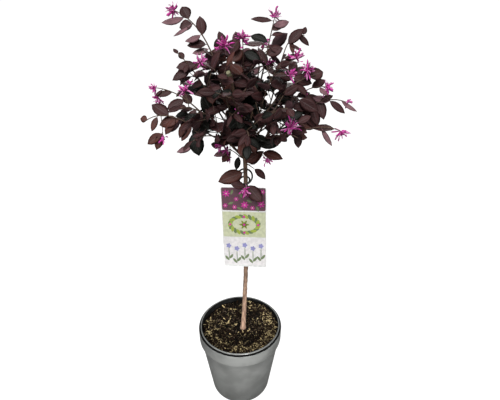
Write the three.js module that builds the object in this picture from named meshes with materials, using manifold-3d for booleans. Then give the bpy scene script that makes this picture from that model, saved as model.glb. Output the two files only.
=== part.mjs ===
// A potted Chinese fringe flower trained as a small standard tree: one bare stem, a round crown of
// arching sprays with plum leaves and magenta strap-petalled flowers, in a round nursery pot.
// Millimetres, +Z up. The origin is the centre of the pot's flat underside; the front looks along -Y.

import * as THREE from "three";
import { mergeVertices } from "three/addons/utils/BufferGeometryUtils.js";
import Module from "manifold-3d";

const wasm = await Module();
wasm.setup();
const { Manifold, Mesh } = wasm;

// Driving dimensions of the pot and its soil
const POT_HEIGHT = 174;
const POT_RIM_RADIUS = 95;
const POT_FOOT_RADIUS = 69.6;
const POT_SHOULDER_RADIUS = 90.4; // the wall just under the collar
const POT_WALL = 1.8;
const COLLAR_HEIGHT = 33.5;
const LEDGE = { width: 3.8, drop: 4.4 }; // round the lip, just inside the collar's edge
const LIP_WIDTH = 2.4;
const POT_SIDES = 36;
const SOIL_TOP = 158; // round the stem
const SOIL_HEAVE = 8; // how much higher the soil lies at the back and right than at the stem
const SOIL_LUMP = 1.5;
const SOIL_CLEARANCE = 0.4;

// Driving dimensions of the stem
const STEM_FOOT = new THREE.Vector3(6.6, 0, SOIL_TOP);
const STEM_TOP = new THREE.Vector3(12, 0, 616);
const STEM_FOOT_RADIUS = 4.9;
const STEM_TOP_RADIUS = 3.8;
const ROOT_FLARE = 2.4; // added to the radius at ground level
const FLARE_HEIGHT = 11;
const STEM_BOW = new THREE.Vector3(6, 1.5, 0); // how far its middle stands from a straight line
const STEM_SIDES = 12;
const STEM_RINGS = [0, 0.01, 0.03, 0.06, 0.15, 0.3, 0.45, 0.6, 0.73, 0.86, 1]; // as shares of its height

// Driving dimensions of the crown
const CROWN_HEART = new THREE.Vector3(12, 0, 585); // reaches and elevations are measured from here
const SEAT_GAP = 0.3; // between a limb and what it grows from
const BOUGH_SHARE = 0.3; // of the way to a lead spray's tip is bough
const LEAVING = 0.32; // how far a limb keeps the slope it leaves with, as a share of its span
const ARRIVING = 0.34; // and the slope it ends with
const FORK_SHARE = 0.6; // side sprays leave this far along a bough
const SIDE_RISE = 0.5; // the slope a side spray leaves with, as a share of its bough's
const UPPER_RISE = 1.7; // and an upper spray
const SHOOT_RISE = 10;
const TIP_ROOM = 12; // stems stop this short of their reach, for a leaf or a blossom
const BOUGH_RADIUS = 2.7;
const BOUGH_TIP_RADIUS = 1.9;
const SPRAY_RADIUS = 1.6;
const SPRAY_TIP_RADIUS = 0.8;
const TWIG_RADIUS = 1.1;
const TWIG_TIP_RADIUS = 0.7;
const LEAF_LENGTH = 43; // of the oldest leaves, within OLD_LEAF_REACH of the heart
const YOUNG_LEAF_LENGTH = 35; // of the leaves beyond YOUNG_LEAF_REACH
const OLD_LEAF_REACH = 60;
const YOUNG_LEAF_REACH = 170;
const LEAF_WIDTH = 0.64; // as a share of the length
const LEAF_WIDEST = 0.46; // of the way along
const LEAF_CURL = 0.09; // how far the tip bends down, as a share of the length
const LEAF_THICKNESS = 0.9;
const LEAF_SPACING = 13; // along a spray's stem
const TWIG_LEAF_SPACING = 12;
const LEAF_ROOM = 5; // least distance between the middles of two leaves
const LEAF_SPREAD = { least: 0.75, range: 0.5, tip: 0.15 }; // angle from its twig, in radians
const LEAF_SAG = { least: 0.1, range: 0.5 }; // how much lower than that it points
const LIGHT = { outward: 0.8, fade: 30, upward: 0.42, scatter: 2.2 }; // what turns a leaf's face
const TWIG_SPACING = 20;
const TWIG_LENGTH = 40; // of the twigs nearest a spray's foot; the last ones are half as long
const TWIG_SLANT = { forward: 0.62, outward: 0.78 };
const TWIG_ROOM = 3; // between a twig and a limb
const CROWN_TOP = 816;
const CROWN_FLOOR = 594; // no leaf or twig hangs lower, except close to the stem
const FLOOR_DIP = 42;
const REACH_ROOM = 8; // how far leaves may pass their spray's reach
const SPRAY_GIRTH = 46; // and how far they may stand off its stem
const ATTEMPTS = 7; // tries for each twig and leaf before it is skipped
const SPACE_MARGIN = 0.35; // leaves stop this far inside their mass's own space
const LIMB_MARGIN = 0.5; // and this far off every limb
const BLOSSOM_RADIUS = 14;
const BLOSSOM_CORE = 3.2;
const BLOSSOM_EVERY = 7; // twigs, from one that bears a blossom to the next
const BLOSSOM_DROOP = 3;
const BLOSSOM_ROOM = 9; // leaves grow at least this far from a blossom's middle
const FIRST_SEED = 55;
const SEED_STEP = 37;

// Driving dimensions of the hanging card
const CARD = { width: 88, height: 176, thickness: 0.8, corner: 4, x: 9.8, y: -13.2, top: 511 };
const CARD_ROOM = 1.5;
const CARD_TURN = THREE.MathUtils.degToRad(-6);
const CARD_TILT = THREE.MathUtils.degToRad(-1.1);
const CARD_HOLE_RADIUS = 2.4;
const RING = { radius: 5.5, wire: 0.9 };
const KNOT = new THREE.Vector3(CARD.x, -9.3, 514.9);
const KNOT_RADIUS = 2.2;
const LOOP_TOPS = [541, 526]; // where the tie's loops pass behind the stem
const LOOP_ROOM = 2.2; // between the stem's back and a loop's wire
const LOOP_SIDES = 5;
const LOOP_STEPS = 14;

// Boughs in the order they leave the stem. Each ends in a lead spray and bears one or two side sprays,
// given by where they end: azimuth (0 is right, -90 the front) and elevation in degrees, and reach, all
// from the crown's heart. pitch is the slope of the spray's last stretch, rises that of its first.
const BOUGHS = [
  {
    name: "right", from: 560, rises: 38,
    lead: { azimuth: 3, elevation: 23, reach: 211, pitch: -22 },
    side: { azimuth: -9, elevation: 11, reach: 185, pitch: -26 },
    upper: { azimuth: -4, elevation: 37, reach: 186, pitch: -8 },
  },
  {
    name: "left", from: 564, rises: 40,
    lead: { azimuth: 180, elevation: 34, reach: 196, pitch: 4 },
    side: { azimuth: 191, elevation: 17, reach: 188, pitch: -36 },
  },
  {
    name: "front_right", from: 568, rises: 38,
    lead: { azimuth: -58, elevation: 33, reach: 158, pitch: 0 },
    side: { azimuth: -40, elevation: 15, reach: 130, pitch: -24 },
    upper: { azimuth: -44, elevation: 60, reach: 172, pitch: 40 },
  },
  {
    name: "back_left", from: 572, rises: 42,
    lead: { azimuth: 143, elevation: 38, reach: 182, pitch: 6 },
    side: { azimuth: 150, elevation: 18, reach: 160, pitch: -16 },
    upper: { azimuth: 136, elevation: 60, reach: 190, pitch: 40 },
  },
  {
    name: "front_left", from: 576, rises: 40,
    lead: { azimuth: -138, elevation: 32, reach: 160, pitch: 0 },
    side: { azimuth: -134, elevation: 14, reach: 128, pitch: -24 },
    upper: { azimuth: -118, elevation: 56, reach: 172, pitch: 40 },
  },
  {
    name: "back_right", from: 580, rises: 42,
    lead: { azimuth: 44, elevation: 36, reach: 184, pitch: 2 },
    side: { azimuth: 36, elevation: 16, reach: 164, pitch: -16 },
  },
  {
    name: "front", from: 584, rises: 42,
    lead: { azimuth: -98, elevation: 40, reach: 172, pitch: 16 },
    side: { azimuth: -86, elevation: 19, reach: 150, pitch: -14 },
  },
  {
    name: "back", from: 588, rises: 46,
    lead: { azimuth: 94, elevation: 42, reach: 180, pitch: 6 },
    side: { azimuth: 96, elevation: 18, reach: 162, pitch: -18 },
    upper: { azimuth: 98, elevation: 66, reach: 196, pitch: 50 },
  },
  {
    name: "upper_left", from: 592, rises: 58,
    lead: { azimuth: 175, elevation: 63, reach: 259, pitch: 20 },
    side: { azimuth: 201, elevation: 55, reach: 202, pitch: 40 },
  },
  {
    name: "right_top", from: 596, rises: 50,
    lead: { azimuth: -12, elevation: 46, reach: 184, pitch: 12 },
    side: { azimuth: 24, elevation: 58, reach: 232, pitch: -20 },
  },
  {
    name: "top", from: 609, rises: 76,
    lead: { azimuth: -92, elevation: 84, reach: 190, pitch: 74 },
    side: { azimuth: -126, elevation: 74, reach: 184, pitch: 56 },
  },
  {
    name: "upper_right", from: 604, rises: 66,
    lead: { azimuth: 14, elevation: 76, reach: 230, pitch: 76 },
    side: { azimuth: 62, elevation: 66, reach: 204, pitch: 40 },
  },
];

// A pruned bough without leaves, which points up and forward.
const CUT_BOUGH = {
  name: "cut", from: 600, rises: 62,
  tip: { azimuth: -106, elevation: 58.6, reach: 150, pitch: 44 },
};

// Short shoots that leave the bare stem just under the crown, each with the few leaves that it bears:
// where on the shoot, which way they point, and how long they are.
const SHOOTS = [
  {
    name: "low_right", from: 553, azimuth: -32, elevation: -18, reach: 20, pitch: -20,
    leaves: [
      { share: 0.45, azimuth: -29, elevation: 46, length: 42 },
      { share: 0.98, azimuth: -22, elevation: -34, length: 30 },
    ],
  },
  {
    name: "low_far_right", from: 561, azimuth: -46, elevation: 26, reach: 47, pitch: 0,
    leaves: [
      { share: 0.6, azimuth: -84, elevation: -32, length: 26 },
      { share: 0.98, azimuth: -16, elevation: -9, length: 40 },
    ],
  },
  {
    name: "low_front", from: 545, azimuth: -88, elevation: -41, reach: 46, pitch: -66, blooms: true,
    leaves: [
      { share: 0.9, azimuth: -171, elevation: 12, length: 28 },
      { share: 0.82, azimuth: -24, elevation: -42, length: 44 },
    ],
  },
  {
    name: "low_far_left", from: 563, azimuth: -145, elevation: 29, reach: 44, pitch: -4, blooms: true,
    leaves: [
      { share: 0.35, azimuth: -128, elevation: -72, length: 27 },
      { share: 0.62, azimuth: -112, elevation: -60, length: 33 },
      { share: 0.9, azimuth: -178, elevation: -24, length: 30 },
    ],
  },
  {
    name: "low_left", from: 537, azimuth: -128, elevation: 4, reach: 11, pitch: -10,
    leaves: [{ share: 0.98, azimuth: -164, elevation: -17, length: 50 }],
  },
];
const SHOOT_LIGHT = new THREE.Vector3(0, -0.8, 0.6); // the way their leaves face

const UP = new THREE.Vector3(0, 0, 1);
const SLIVER = 0.02; // edges shorter than this are merged away
const GOLDEN_ANGLE = THREE.MathUtils.degToRad(137.5);

/** A repeatable run of numbers from 0 to 1: each is the last one times a constant, plus another. */
function seeded(seed) {
  let state = seed >>> 0;
  return () => {
    state = (Math.imul(state, 1664525) + 1013904223) >>> 0;
    return state / 4294967296;
  };
}

/** A point at an azimuth and elevation, in degrees, and a distance, from a centre. */
function polar(azimuth, elevation, distance, centre = new THREE.Vector3()) {
  const a = THREE.MathUtils.degToRad(azimuth);
  const e = THREE.MathUtils.degToRad(elevation);
  const direction = new THREE.Vector3(Math.cos(a) * Math.cos(e), Math.sin(a) * Math.cos(e), Math.sin(e));
  return direction.multiplyScalar(distance).add(centre);
}

/** A closed manifold-3d solid from positions and triangle indices. */
function solidFrom(positions, triangles) {
  const mesh = new Mesh({
    numProp: 3,
    vertProperties: new Float32Array(positions),
    triVerts: new Uint32Array(triangles),
  });
  return new Manifold(mesh);
}

/** The same from a three.js geometry, whose shared vertices are merged first. */
function solidOf(geometry) {
  const merged = mergeVertices(bareGeometry(geometry), 1e-4);
  return solidFrom(merged.attributes.position.array, merged.index.array);
}

/** A solid's largest body as a three.js geometry, without slivers, hollows and scraps. */
function geometryOf(solid) {
  const bodies = solid.simplify(SLIVER).decompose();
  const largest = bodies.reduce((best, body) => (body.volume() > best.volume() ? body : best));
  const mesh = largest.getMesh();
  const geometry = new THREE.BufferGeometry();
  geometry.setAttribute("position", new THREE.BufferAttribute(mesh.vertProperties, 3));
  geometry.setIndex(new THREE.BufferAttribute(mesh.triVerts, 1));
  return geometry;
}

/** True if each edge has two faces, one on either side, once vertices a thousandth apart are one. */
function isClosed(geometry) {
  const corners = mergeVertices(geometry, 1e-3).index.array;
  const edges = new Set();
  for (let i = 0; i < corners.length; i++) {
    const next = i % 3 === 2 ? i - 2 : i + 1;
    if (corners[i] === corners[next]) return false;
    edges.add(corners[i] + "_" + corners[next]);
  }
  const isPaired = (edge) => edges.has(edge.split("_").reverse().join("_"));
  return edges.size === corners.length && [...edges].every(isPaired);
}

/** Fuses parts onto the first and cuts the limbs away, skipping each part that spoils the surface. */
function fused(parts, cutter) {
  let whole = parts[0];
  for (const part of parts.slice(1)) {
    const larger = whole.add(part);
    if (isClosed(geometryOf(larger.subtract(cutter)))) whole = larger;
  }
  return geometryOf(whole.subtract(cutter));
}

/**
 * A tapering tube along points, closed by flat ends: a cylinder of radius one, each ring of which is
 * carried to its point and widened. The rings stand square to the path, or level.
 */
function tube(points, radii, sides, level = false) {
  const last = points.length - 1;
  const geometry = new THREE.CylinderGeometry(1, 1, last, sides, last);
  const place = geometry.getAttribute("position");
  const frames = framesAlong(points, level);
  for (let i = 0; i < place.count; i++) {
    const ring = Math.round(place.getY(i) + last / 2);
    const { across, third } = frames[ring];
    const spot = points[ring]
      .clone()
      .addScaledVector(across, place.getX(i) * radii[ring])
      .addScaledVector(third, place.getZ(i) * radii[ring]);
    place.setXYZ(i, spot.x, spot.y, spot.z);
  }
  return solidOf(geometry);
}

/** At each point of a path, two directions square to the path and to one another. */
function framesAlong(points, level) {
  let across = null;
  return points.map((point, i) => {
    const before = points[Math.max(i - 1, 0)];
    const after = points[Math.min(i + 1, points.length - 1)];
    const along = level ? UP.clone() : after.clone().sub(before).normalize();
    if (!across) across = Math.abs(along.z) > 0.9 ? new THREE.Vector3(1, 0, 0) : UP.clone();
    across = across.clone().addScaledVector(along, -across.dot(along)).normalize();
    return { across, third: across.clone().cross(along) };
  });
}

/** Evenly spaced points of a curve between two shares of its length. */
function stretch(curve, from, to, count) {
  return Array.from({ length: count }, (_, i) => curve.getPointAt(from + ((to - from) * i) / (count - 1)));
}

/** Radii that taper evenly from first to last. */
function taper(first, last, count) {
  return Array.from({ length: count }, (_, i) => first + ((last - first) * i) / (count - 1));
}

/** The stem's centre at a height: a straight lean with one slow bow. */
function stemAt(height) {
  const share = (height - STEM_FOOT.z) / (STEM_TOP.z - STEM_FOOT.z);
  return STEM_FOOT.clone().lerp(STEM_TOP, share).addScaledVector(STEM_BOW, Math.sin(share * Math.PI));
}

/** The stem's radius at a height: an even taper and a root flare that dies away upwards. */
function stemRadiusAt(height) {
  const share = (height - STEM_FOOT.z) / (STEM_TOP.z - STEM_FOOT.z);
  const flare = ROOT_FLARE * Math.exp(-(height - STEM_FOOT.z) / FLARE_HEIGHT);
  return STEM_FOOT_RADIUS + (STEM_TOP_RADIUS - STEM_FOOT_RADIUS) * share + flare;
}

/** A limb's centreline: it leaves at one slope, arches, and arrives at another. */
function limbCurve(start, tip, azimuth, rises, pitch) {
  const span = start.distanceTo(tip);
  const leaving = polar(azimuth, rises, span * LEAVING, start);
  const arriving = polar(azimuth, pitch, -span * ARRIVING, tip);
  return new THREE.CubicBezierCurve3(start, leaving, arriving, tip);
}

/** The pot's closed profile, from the axis out along the underside, up the wall and back down inside. */
function potProfile() {
  const step = POT_HEIGHT - COLLAR_HEIGHT;
  const ledge = POT_HEIGHT - LEDGE.drop;
  const lipOuter = POT_RIM_RADIUS - LEDGE.width;
  return [
    [0, 0],
    [POT_FOOT_RADIUS - 3, 0],
    [POT_FOOT_RADIUS - 0.7, 1],
    [POT_FOOT_RADIUS, 3.4],
    [POT_SHOULDER_RADIUS, step],
    [POT_RIM_RADIUS - 0.8, step + 0.8],
    [POT_RIM_RADIUS, ledge - 1.6],
    [POT_RIM_RADIUS - 0.6, ledge],
    [lipOuter, ledge],
    [lipOuter - 0.2, POT_HEIGHT - 1],
    [lipOuter - LIP_WIDTH / 2, POT_HEIGHT],
    ...innerWall(),
  ];
}

/** The inside of the pot from the rim down to the axis. */
function innerWall() {
  const step = POT_HEIGHT - COLLAR_HEIGHT;
  const lipInner = POT_RIM_RADIUS - LEDGE.width - LIP_WIDTH;
  return [
    [lipInner, POT_HEIGHT - 0.8],
    [lipInner, step + 4],
    [POT_SHOULDER_RADIUS - POT_WALL, step - 3],
    [POT_FOOT_RADIUS - POT_WALL, 3],
    [0, 2.4],
  ];
}

/** A solid of revolution about Z from a profile of [radius, height] pairs. */
function turned(profile) {
  const points = profile.map(([radius, height]) => new THREE.Vector2(radius, height));
  return new THREE.LatheGeometry(points, POT_SIDES).rotateX(Math.PI / 2);
}

/** How far the soil stands over its level at the stem: a heave to the back and right, and low lumps. */
function soilRise(x, y) {
  const broad = Math.sin(x * 0.071 + 1) * Math.cos(y * 0.063);
  const fine = Math.sin(x * 0.17 - y * 0.13);
  const towardsRise = (x + y) * Math.SQRT1_2;
  const heave = SOIL_HEAVE * THREE.MathUtils.smoothstep(towardsRise, 0, POT_SHOULDER_RADIUS - 5);
  const away = Math.hypot(x - STEM_FOOT.x, y - STEM_FOOT.y);
  return (heave + SOIL_LUMP * (broad + fine / 2)) * THREE.MathUtils.smoothstep(away, 16, 45);
}

/** The filling: it follows the pot's inside with a small clearance, up to an uneven top. */
function soilGeometry() {
  const [, rim, shoulder, foot] = innerWall().map(([radius, height]) => [radius - SOIL_CLEARANCE, height]);
  const rings = [72, 46, 20, 0].map((radius) => [radius, SOIL_TOP]);
  const profile = [[0, 2.8], [foot[0], 3.4], shoulder, rim, [rim[0], SOIL_TOP], ...rings];
  const geometry = turned(profile);
  const place = geometry.getAttribute("position");
  for (let i = 0; i < place.count; i++) {
    if (place.getZ(i) > SOIL_TOP - 1) {
      place.setZ(i, SOIL_TOP + soilRise(place.getX(i), place.getY(i)));
    }
  }
  return geometry;
}

/** A leaf blade of eight faces: an octahedron flattened, with its side corners on the widest place. */
function leafSolid(leaf) {
  const geometry = new THREE.OctahedronGeometry(1, 0);
  const place = geometry.getAttribute("position");
  for (let i = 0; i < place.count; i++) {
    const x = Math.round(place.getX(i));
    const u = x === 0 ? LEAF_WIDEST : (x + 1) / 2;
    const spot = onLeaf(leaf, u, place.getY(i) / 2, (place.getZ(i) * LEAF_THICKNESS) / 2);
    place.setXYZ(i, spot.x, spot.y, spot.z);
  }
  return solidOf(geometry);
}

/** A point of a leaf: u along it and v across it, as shares of its length and width, and a lift. */
function onLeaf(leaf, u, v, lift = 0) {
  return leaf.root
    .clone()
    .addScaledVector(leaf.along, u * leaf.length)
    .addScaledVector(leaf.across, v * leaf.length * LEAF_WIDTH)
    .addScaledVector(leaf.face, lift - leaf.curl * u * u);
}

/**
 * Where a leaf stands. It points forward along its twig and out to one side (side 0 is the twig's own
 * tip), sags a little, and turns its face more or less to the light: up and away from the crown's axis.
 */
function leafAt(root, twigAlong, side, size, rand) {
  const sideways = twigAlong.clone().cross(UP).normalize();
  const spread = side ? LEAF_SPREAD.least + LEAF_SPREAD.range * rand() : LEAF_SPREAD.tip;
  const along = twigAlong
    .clone()
    .multiplyScalar(Math.cos(spread))
    .addScaledVector(sideways, (side || 1) * Math.sin(spread))
    .addScaledVector(UP, -LEAF_SAG.least - LEAF_SAG.range * rand())
    .normalize();
  const outward = root.clone().sub(CROWN_HEART).setZ(0);
  const scatter = new THREE.Vector3(rand() - 0.5, rand() - 0.5, rand() - 0.5);
  const light = outward
    .multiplyScalar(LIGHT.outward / (outward.length() + LIGHT.fade))
    .addScaledVector(UP, LIGHT.upward)
    .addScaledVector(scatter, LIGHT.scatter);
  return leafTowards(root, along, light, size * (0.8 + 0.35 * rand()));
}

/** A leaf that points one way and turns its face as far as it can another way. */
function leafTowards(root, along, light, length) {
  const across = light.clone().cross(along).normalize();
  const face = along.clone().cross(across).normalize();
  return { root, along, across, face, length, curl: length * LEAF_CURL };
}

/** Points that show where a leaf reaches: round its outline and down its middle. */
function leafReach(leaf) {
  const halfWidths = [[0.2, 0.22], [LEAF_WIDEST, 0.5], [0.7, 0.3], [0.9, 0.1]];
  const edges = halfWidths.flatMap(([u, v]) => [onLeaf(leaf, u, v), onLeaf(leaf, u, -v)]);
  return [...edges, onLeaf(leaf, 1, 0)];
}

/** A blossom: a small eight-sided core with a petal drawn out of each face but the one to its twig. */
function blossomSolid({ tip, heading }, rand) {
  const core = mergeVertices(bareGeometry(new THREE.OctahedronGeometry(BLOSSOM_CORE, 0)), 1e-4);
  const turn = new THREE.Quaternion().setFromUnitVectors(new THREE.Vector3(1, 1, 1).normalize(), heading);
  const centre = tip.clone().addScaledVector(heading, BLOSSOM_CORE * 0.3);
  const place = core.getAttribute("position");
  const corners = Array.from({ length: place.count }, (_, i) =>
    new THREE.Vector3().fromBufferAttribute(place, i).applyQuaternion(turn));
  const points = corners.map((corner) => corner.clone().add(centre));
  const triangles = [];
  for (let f = 0; f < core.index.count; f += 3) {
    const face = [0, 1, 2].map((k) => core.index.getX(f + k));
    const out = face.reduce((sum, k) => sum.add(corners[k]), new THREE.Vector3()).normalize();
    if (out.dot(heading) < -0.9) {
      triangles.push(...face);
      continue;
    }
    const petal = out.multiplyScalar(BLOSSOM_RADIUS * (0.6 + 0.4 * rand())).add(centre);
    petal.z -= BLOSSOM_DROOP * rand();
    const apex = points.push(petal) - 1;
    triangles.push(face[0], face[1], apex, face[1], face[2], apex, face[2], face[0], apex);
  }
  return solidFrom(points.flatMap((point) => point.toArray()), triangles);
}

/** A geometry's triangles without normals or texture coordinates, each with corners of its own. */
function bareGeometry(geometry) {
  const flat = geometry.index ? geometry.toNonIndexed() : geometry;
  return new THREE.BufferGeometry().setAttribute("position", flat.getAttribute("position"));
}

/** How far a point is from a line of points. */
function distanceTo(point, line) {
  const nearest = new THREE.Vector3();
  let best = Infinity;
  for (let i = 0; i + 1 < line.length; i++) {
    new THREE.Line3(line[i], line[i + 1]).closestPointToPoint(point, true, nearest);
    best = Math.min(best, nearest.distanceTo(point));
  }
  return best;
}

/** True if a point lies in the space nearest to a mass's own stem. */
function inOwnSpace(point, mass, masses) {
  const own = distanceTo(point, mass.axis) + SPACE_MARGIN;
  return masses.every((other) => other === mass || distanceTo(point, other.axis) > own);
}

/** True if a point is no further out than its mass's reach, and not under the crown. */
function inCrown(point, mass) {
  if (!mass.branches) return true;
  const away = Math.hypot(point.x - CROWN_HEART.x, point.y - CROWN_HEART.y);
  const floor = CROWN_FLOOR - FLOOR_DIP * (1 - THREE.MathUtils.smoothstep(away, 12, 85));
  const isInReach = point.distanceTo(CROWN_HEART) < mass.reach + REACH_ROOM;
  const isBetween = point.z > floor && point.z < CROWN_TOP;
  return isBetween && isInReach && distanceTo(point, mass.axis) < SPRAY_GIRTH;
}

/** True if a point is above the hanging card or in front of it, with room to spare. */
function clearOfCard(point) {
  const aside = point.x - CARD.x;
  return point.z > CARD.top + CARD_ROOM || point.y < CARD.y - CARD_ROOM + aside * Math.tan(CARD_TURN);
}

/** True if a leaf's box holds none of the limbs' centre points, each grown by its radius. */
function clearOfLimbs(leaf, limbs) {
  const offset = new THREE.Vector3();
  return limbs.every(({ points, radius }) => {
    const slack = radius + LIMB_MARGIN;
    return points.every((point) => {
      offset.copy(point).sub(leaf.root);
      const u = offset.dot(leaf.along);
      const bend = leaf.curl * THREE.MathUtils.clamp(u / leaf.length, 0, 1) ** 2;
      const outside = u < -slack || u > leaf.length + slack;
      const aside = Math.abs(offset.dot(leaf.across)) > leaf.length * LEAF_WIDTH * 0.48 + slack;
      return outside || aside || Math.abs(offset.dot(leaf.face) + bend) > slack + LEAF_THICKNESS / 2;
    });
  });
}

/** The point of an evenly spaced line of points at a share of its length. */
function pointOn(line, share) {
  const spot = THREE.MathUtils.clamp(share, 0, 1) * (line.length - 1);
  const i = Math.min(Math.floor(spot), line.length - 2);
  return line[i].clone().lerp(line[i + 1], spot - i);
}

/** A line's last point and the way it points. */
function tipOf(line) {
  return { tip: line[line.length - 1], heading: headingOn(line, 1) };
}

/** The way a line points at a share of its length, from a point a little before to one a little after. */
function headingOn(line, share) {
  const step = 0.06;
  return pointOn(line, share + step).sub(pointOn(line, share - step)).normalize();
}

/** How long a leaf is: the ones nearest the crown's heart are the oldest and largest. */
function leafSizeAt(point) {
  const share = THREE.MathUtils.smoothstep(point.distanceTo(CROWN_HEART), OLD_LEAF_REACH, YOUNG_LEAF_REACH);
  return LEAF_LENGTH + (YOUNG_LEAF_LENGTH - LEAF_LENGTH) * share;
}

/** True if a straight line passes through a leaf. */
function pierces([from, to], leaf) {
  const ray = new THREE.Ray(from, to.clone().sub(from).normalize());
  const [root, left, tip, right] = leafOutline(leaf);
  const hit = ray.intersectTriangle(root, left, tip, false, new THREE.Vector3())
    ?? ray.intersectTriangle(root, tip, right, false, new THREE.Vector3());
  return hit !== null && hit.distanceTo(from) < from.distanceTo(to);
}

/** True if two leaves pass through one another, or lie almost in the same place. */
function clash(leaf, other) {
  if (onLeaf(leaf, 0.5, 0).distanceTo(onLeaf(other, 0.5, 0)) < LEAF_ROOM) return true;
  const throughOther = leafEdges(leaf).some((edge) => pierces(edge, other));
  return throughOther || leafEdges(other).some((edge) => pierces(edge, leaf));
}

/** The four corners of a leaf's outline. */
function leafOutline(leaf) {
  const corners = [[0, 0], [LEAF_WIDEST, 0.5], [1, 0], [LEAF_WIDEST, -0.5]];
  return corners.map(([u, v]) => onLeaf(leaf, u, v));
}

/** A leaf's edges and midrib as straight lines. */
function leafEdges(leaf) {
  const [root, left, tip, right] = leafOutline(leaf);
  return [[root, left], [left, tip], [tip, right], [right, root], [root, tip]];
}

/**
 * The growing rule. A mass's stem bears side twigs, each turned by the golden angle from the last,
 * angled forward and shorter towards the tip. Stem and twigs bear leaves by turns left and right and
 * one at the tip. The stem's tip and some twigs' tips bear a blossom. What leaves the mass's own space
 * or would touch a limb or a leaf is tried again a little smaller and turned, then skipped.
 */
function grow(mass, masses, limbs) {
  const rand = seeded(mass.seed);
  const { axis, length } = mass;
  const inRoom = (point) => inCrown(point, mass) && inOwnSpace(point, mass, masses) && clearOfCard(point);
  const isOff = (point) => limbs.every((limb) => distanceTo(point, limb.points) > limb.radius + TWIG_ROOM);
  const leaves = [];
  const twigs = [axis];
  const blossoms = [];

  function fits(leaf, twig) {
    if (leaves.some((other) => clash(leaf, other))) return false;
    const others = twigs.filter((other) => other !== twig).flatMap((other) => linesOf(other));
    if (others.some((line) => pierces(line, leaf))) return false;
    if (blossoms.some(({ tip }) => onLeaf(leaf, 0.5, 0).distanceTo(tip) < BLOSSOM_ROOM)) return false;
    return leafReach(leaf).every(inRoom) && clearOfLimbs(leaf, limbs);
  }

  function bearLeaves(twig, twigLength, spacing, first) {
    const blooms = tipHasBlossom(twig);
    const last = blooms ? 1 - BLOSSOM_ROOM / twigLength : 1;
    const count = Math.max(2, Math.round((twigLength * last) / spacing));
    for (let m = 0; m < count; m++) {
      const share = first + ((last - first) * (m + 1)) / count;
      const root = pointOn(twig, Math.min(share, 0.985));
      const heading = headingOn(twig, share);
      for (let attempt = 0; attempt < ATTEMPTS; attempt++) {
        const side = m === count - 1 && !blooms ? 0 : (m + attempt) % 2 ? 1 : -1;
        const leaf = leafAt(root, heading, side, leafSizeAt(root) * (1 - 0.06 * attempt), rand);
        if (fits(leaf, twig)) {
          leaves.push(leaf);
          break;
        }
      }
    }
  }

  function growTwig(share, turn, reach) {
    const root = pointOn(axis, share);
    const forward = headingOn(axis, share);
    const outward = forward.clone().cross(UP).normalize().applyAxisAngle(forward, turn);
    const direction = forward
      .clone()
      .multiplyScalar(TWIG_SLANT.forward)
      .addScaledVector(outward, TWIG_SLANT.outward)
      .normalize();
    return [root, root.clone().addScaledVector(direction, reach)];
  }

  function tipHasBlossom(twig) {
    return blossoms.some(({ tip }) => tip === twig[twig.length - 1]);
  }

  function bloom(twig) {
    const { tip, heading } = tipOf(twig);
    const own = distanceTo(tip, axis) + BLOSSOM_RADIUS * 1.1;
    const isRoomy = masses.every((other) => other === mass || distanceTo(tip, other.axis) > own);
    const isFreeOfLeaves = leaves.every((leaf) => onLeaf(leaf, 0.5, 0).distanceTo(tip) > BLOSSOM_ROOM);
    if (isRoomy && isFreeOfLeaves) blossoms.push({ tip, heading });
  }

  if (mass.blooms) bloom(axis);
  if (mass.branches) bearLeaves(axis, length, LEAF_SPACING, 0.04);
  for (const { share, azimuth, elevation, length: size } of mass.leaves ?? []) {
    leaves.push(leafTowards(pointOn(axis, share), polar(azimuth, elevation, 1), SHOOT_LIGHT, size));
  }
  const branchings = mass.branches ? Math.round(length / TWIG_SPACING) : 0;
  for (let k = 0; k < branchings; k++) {
    const share = 0.06 + (0.8 * k) / branchings;
    for (let attempt = 0; attempt < ATTEMPTS; attempt++) {
      const full = TWIG_LENGTH * (1 - 0.5 * share) * (0.8 + 0.4 * rand());
      const reach = full * (1 - 0.08 * attempt);
      const twig = growTwig(share, (k + attempt * 0.6) * GOLDEN_ANGLE + rand() * 0.8, reach);
      const middles = [0.3, 0.65, 1].map((part) => pointOn(twig, part));
      const isClear = middles.every((point) => inRoom(point) && isOff(point));
      if (!isClear || leaves.some((leaf) => pierces(twig, leaf))) continue;
      const before = leaves.length;
      if (k % BLOSSOM_EVERY === mass.seed % BLOSSOM_EVERY) bloom(twig);
      bearLeaves(twig, reach, TWIG_LEAF_SPACING, 0.12);
      if (leaves.length < before + 2) {
        leaves.length = before;
        if (tipHasBlossom(twig)) blossoms.pop();
        continue;
      }
      twigs.push(twig);
      break;
    }
  }
  return [
    tube(axis, taper(SPRAY_RADIUS, SPRAY_TIP_RADIUS, axis.length), 3),
    ...twigs.slice(1).map((twig) => tube(twig, [TWIG_RADIUS, TWIG_TIP_RADIUS], 3)),
    ...leaves.map(leafSolid),
    ...blossoms.map((tip) => blossomSolid(tip, rand)),
  ];
}

/** The straight lines between a row of points. */
function linesOf(points) {
  return points.slice(1).map((point, i) => [points[i], point]);
}

const trunkHeights = STEM_RINGS.map((share) => THREE.MathUtils.lerp(STEM_FOOT.z, STEM_TOP.z, share));
const trunkPoints = trunkHeights.map((height) => stemAt(height));
trunkPoints[0].z += SEAT_GAP;
const trunkRadii = trunkHeights.map(stemRadiusAt);
const trunk = tube(trunkPoints, trunkRadii, STEM_SIDES, true);
const trunkCutter = tube(trunkPoints, trunkRadii.map((radius) => radius + SEAT_GAP), STEM_SIDES, true);

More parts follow.
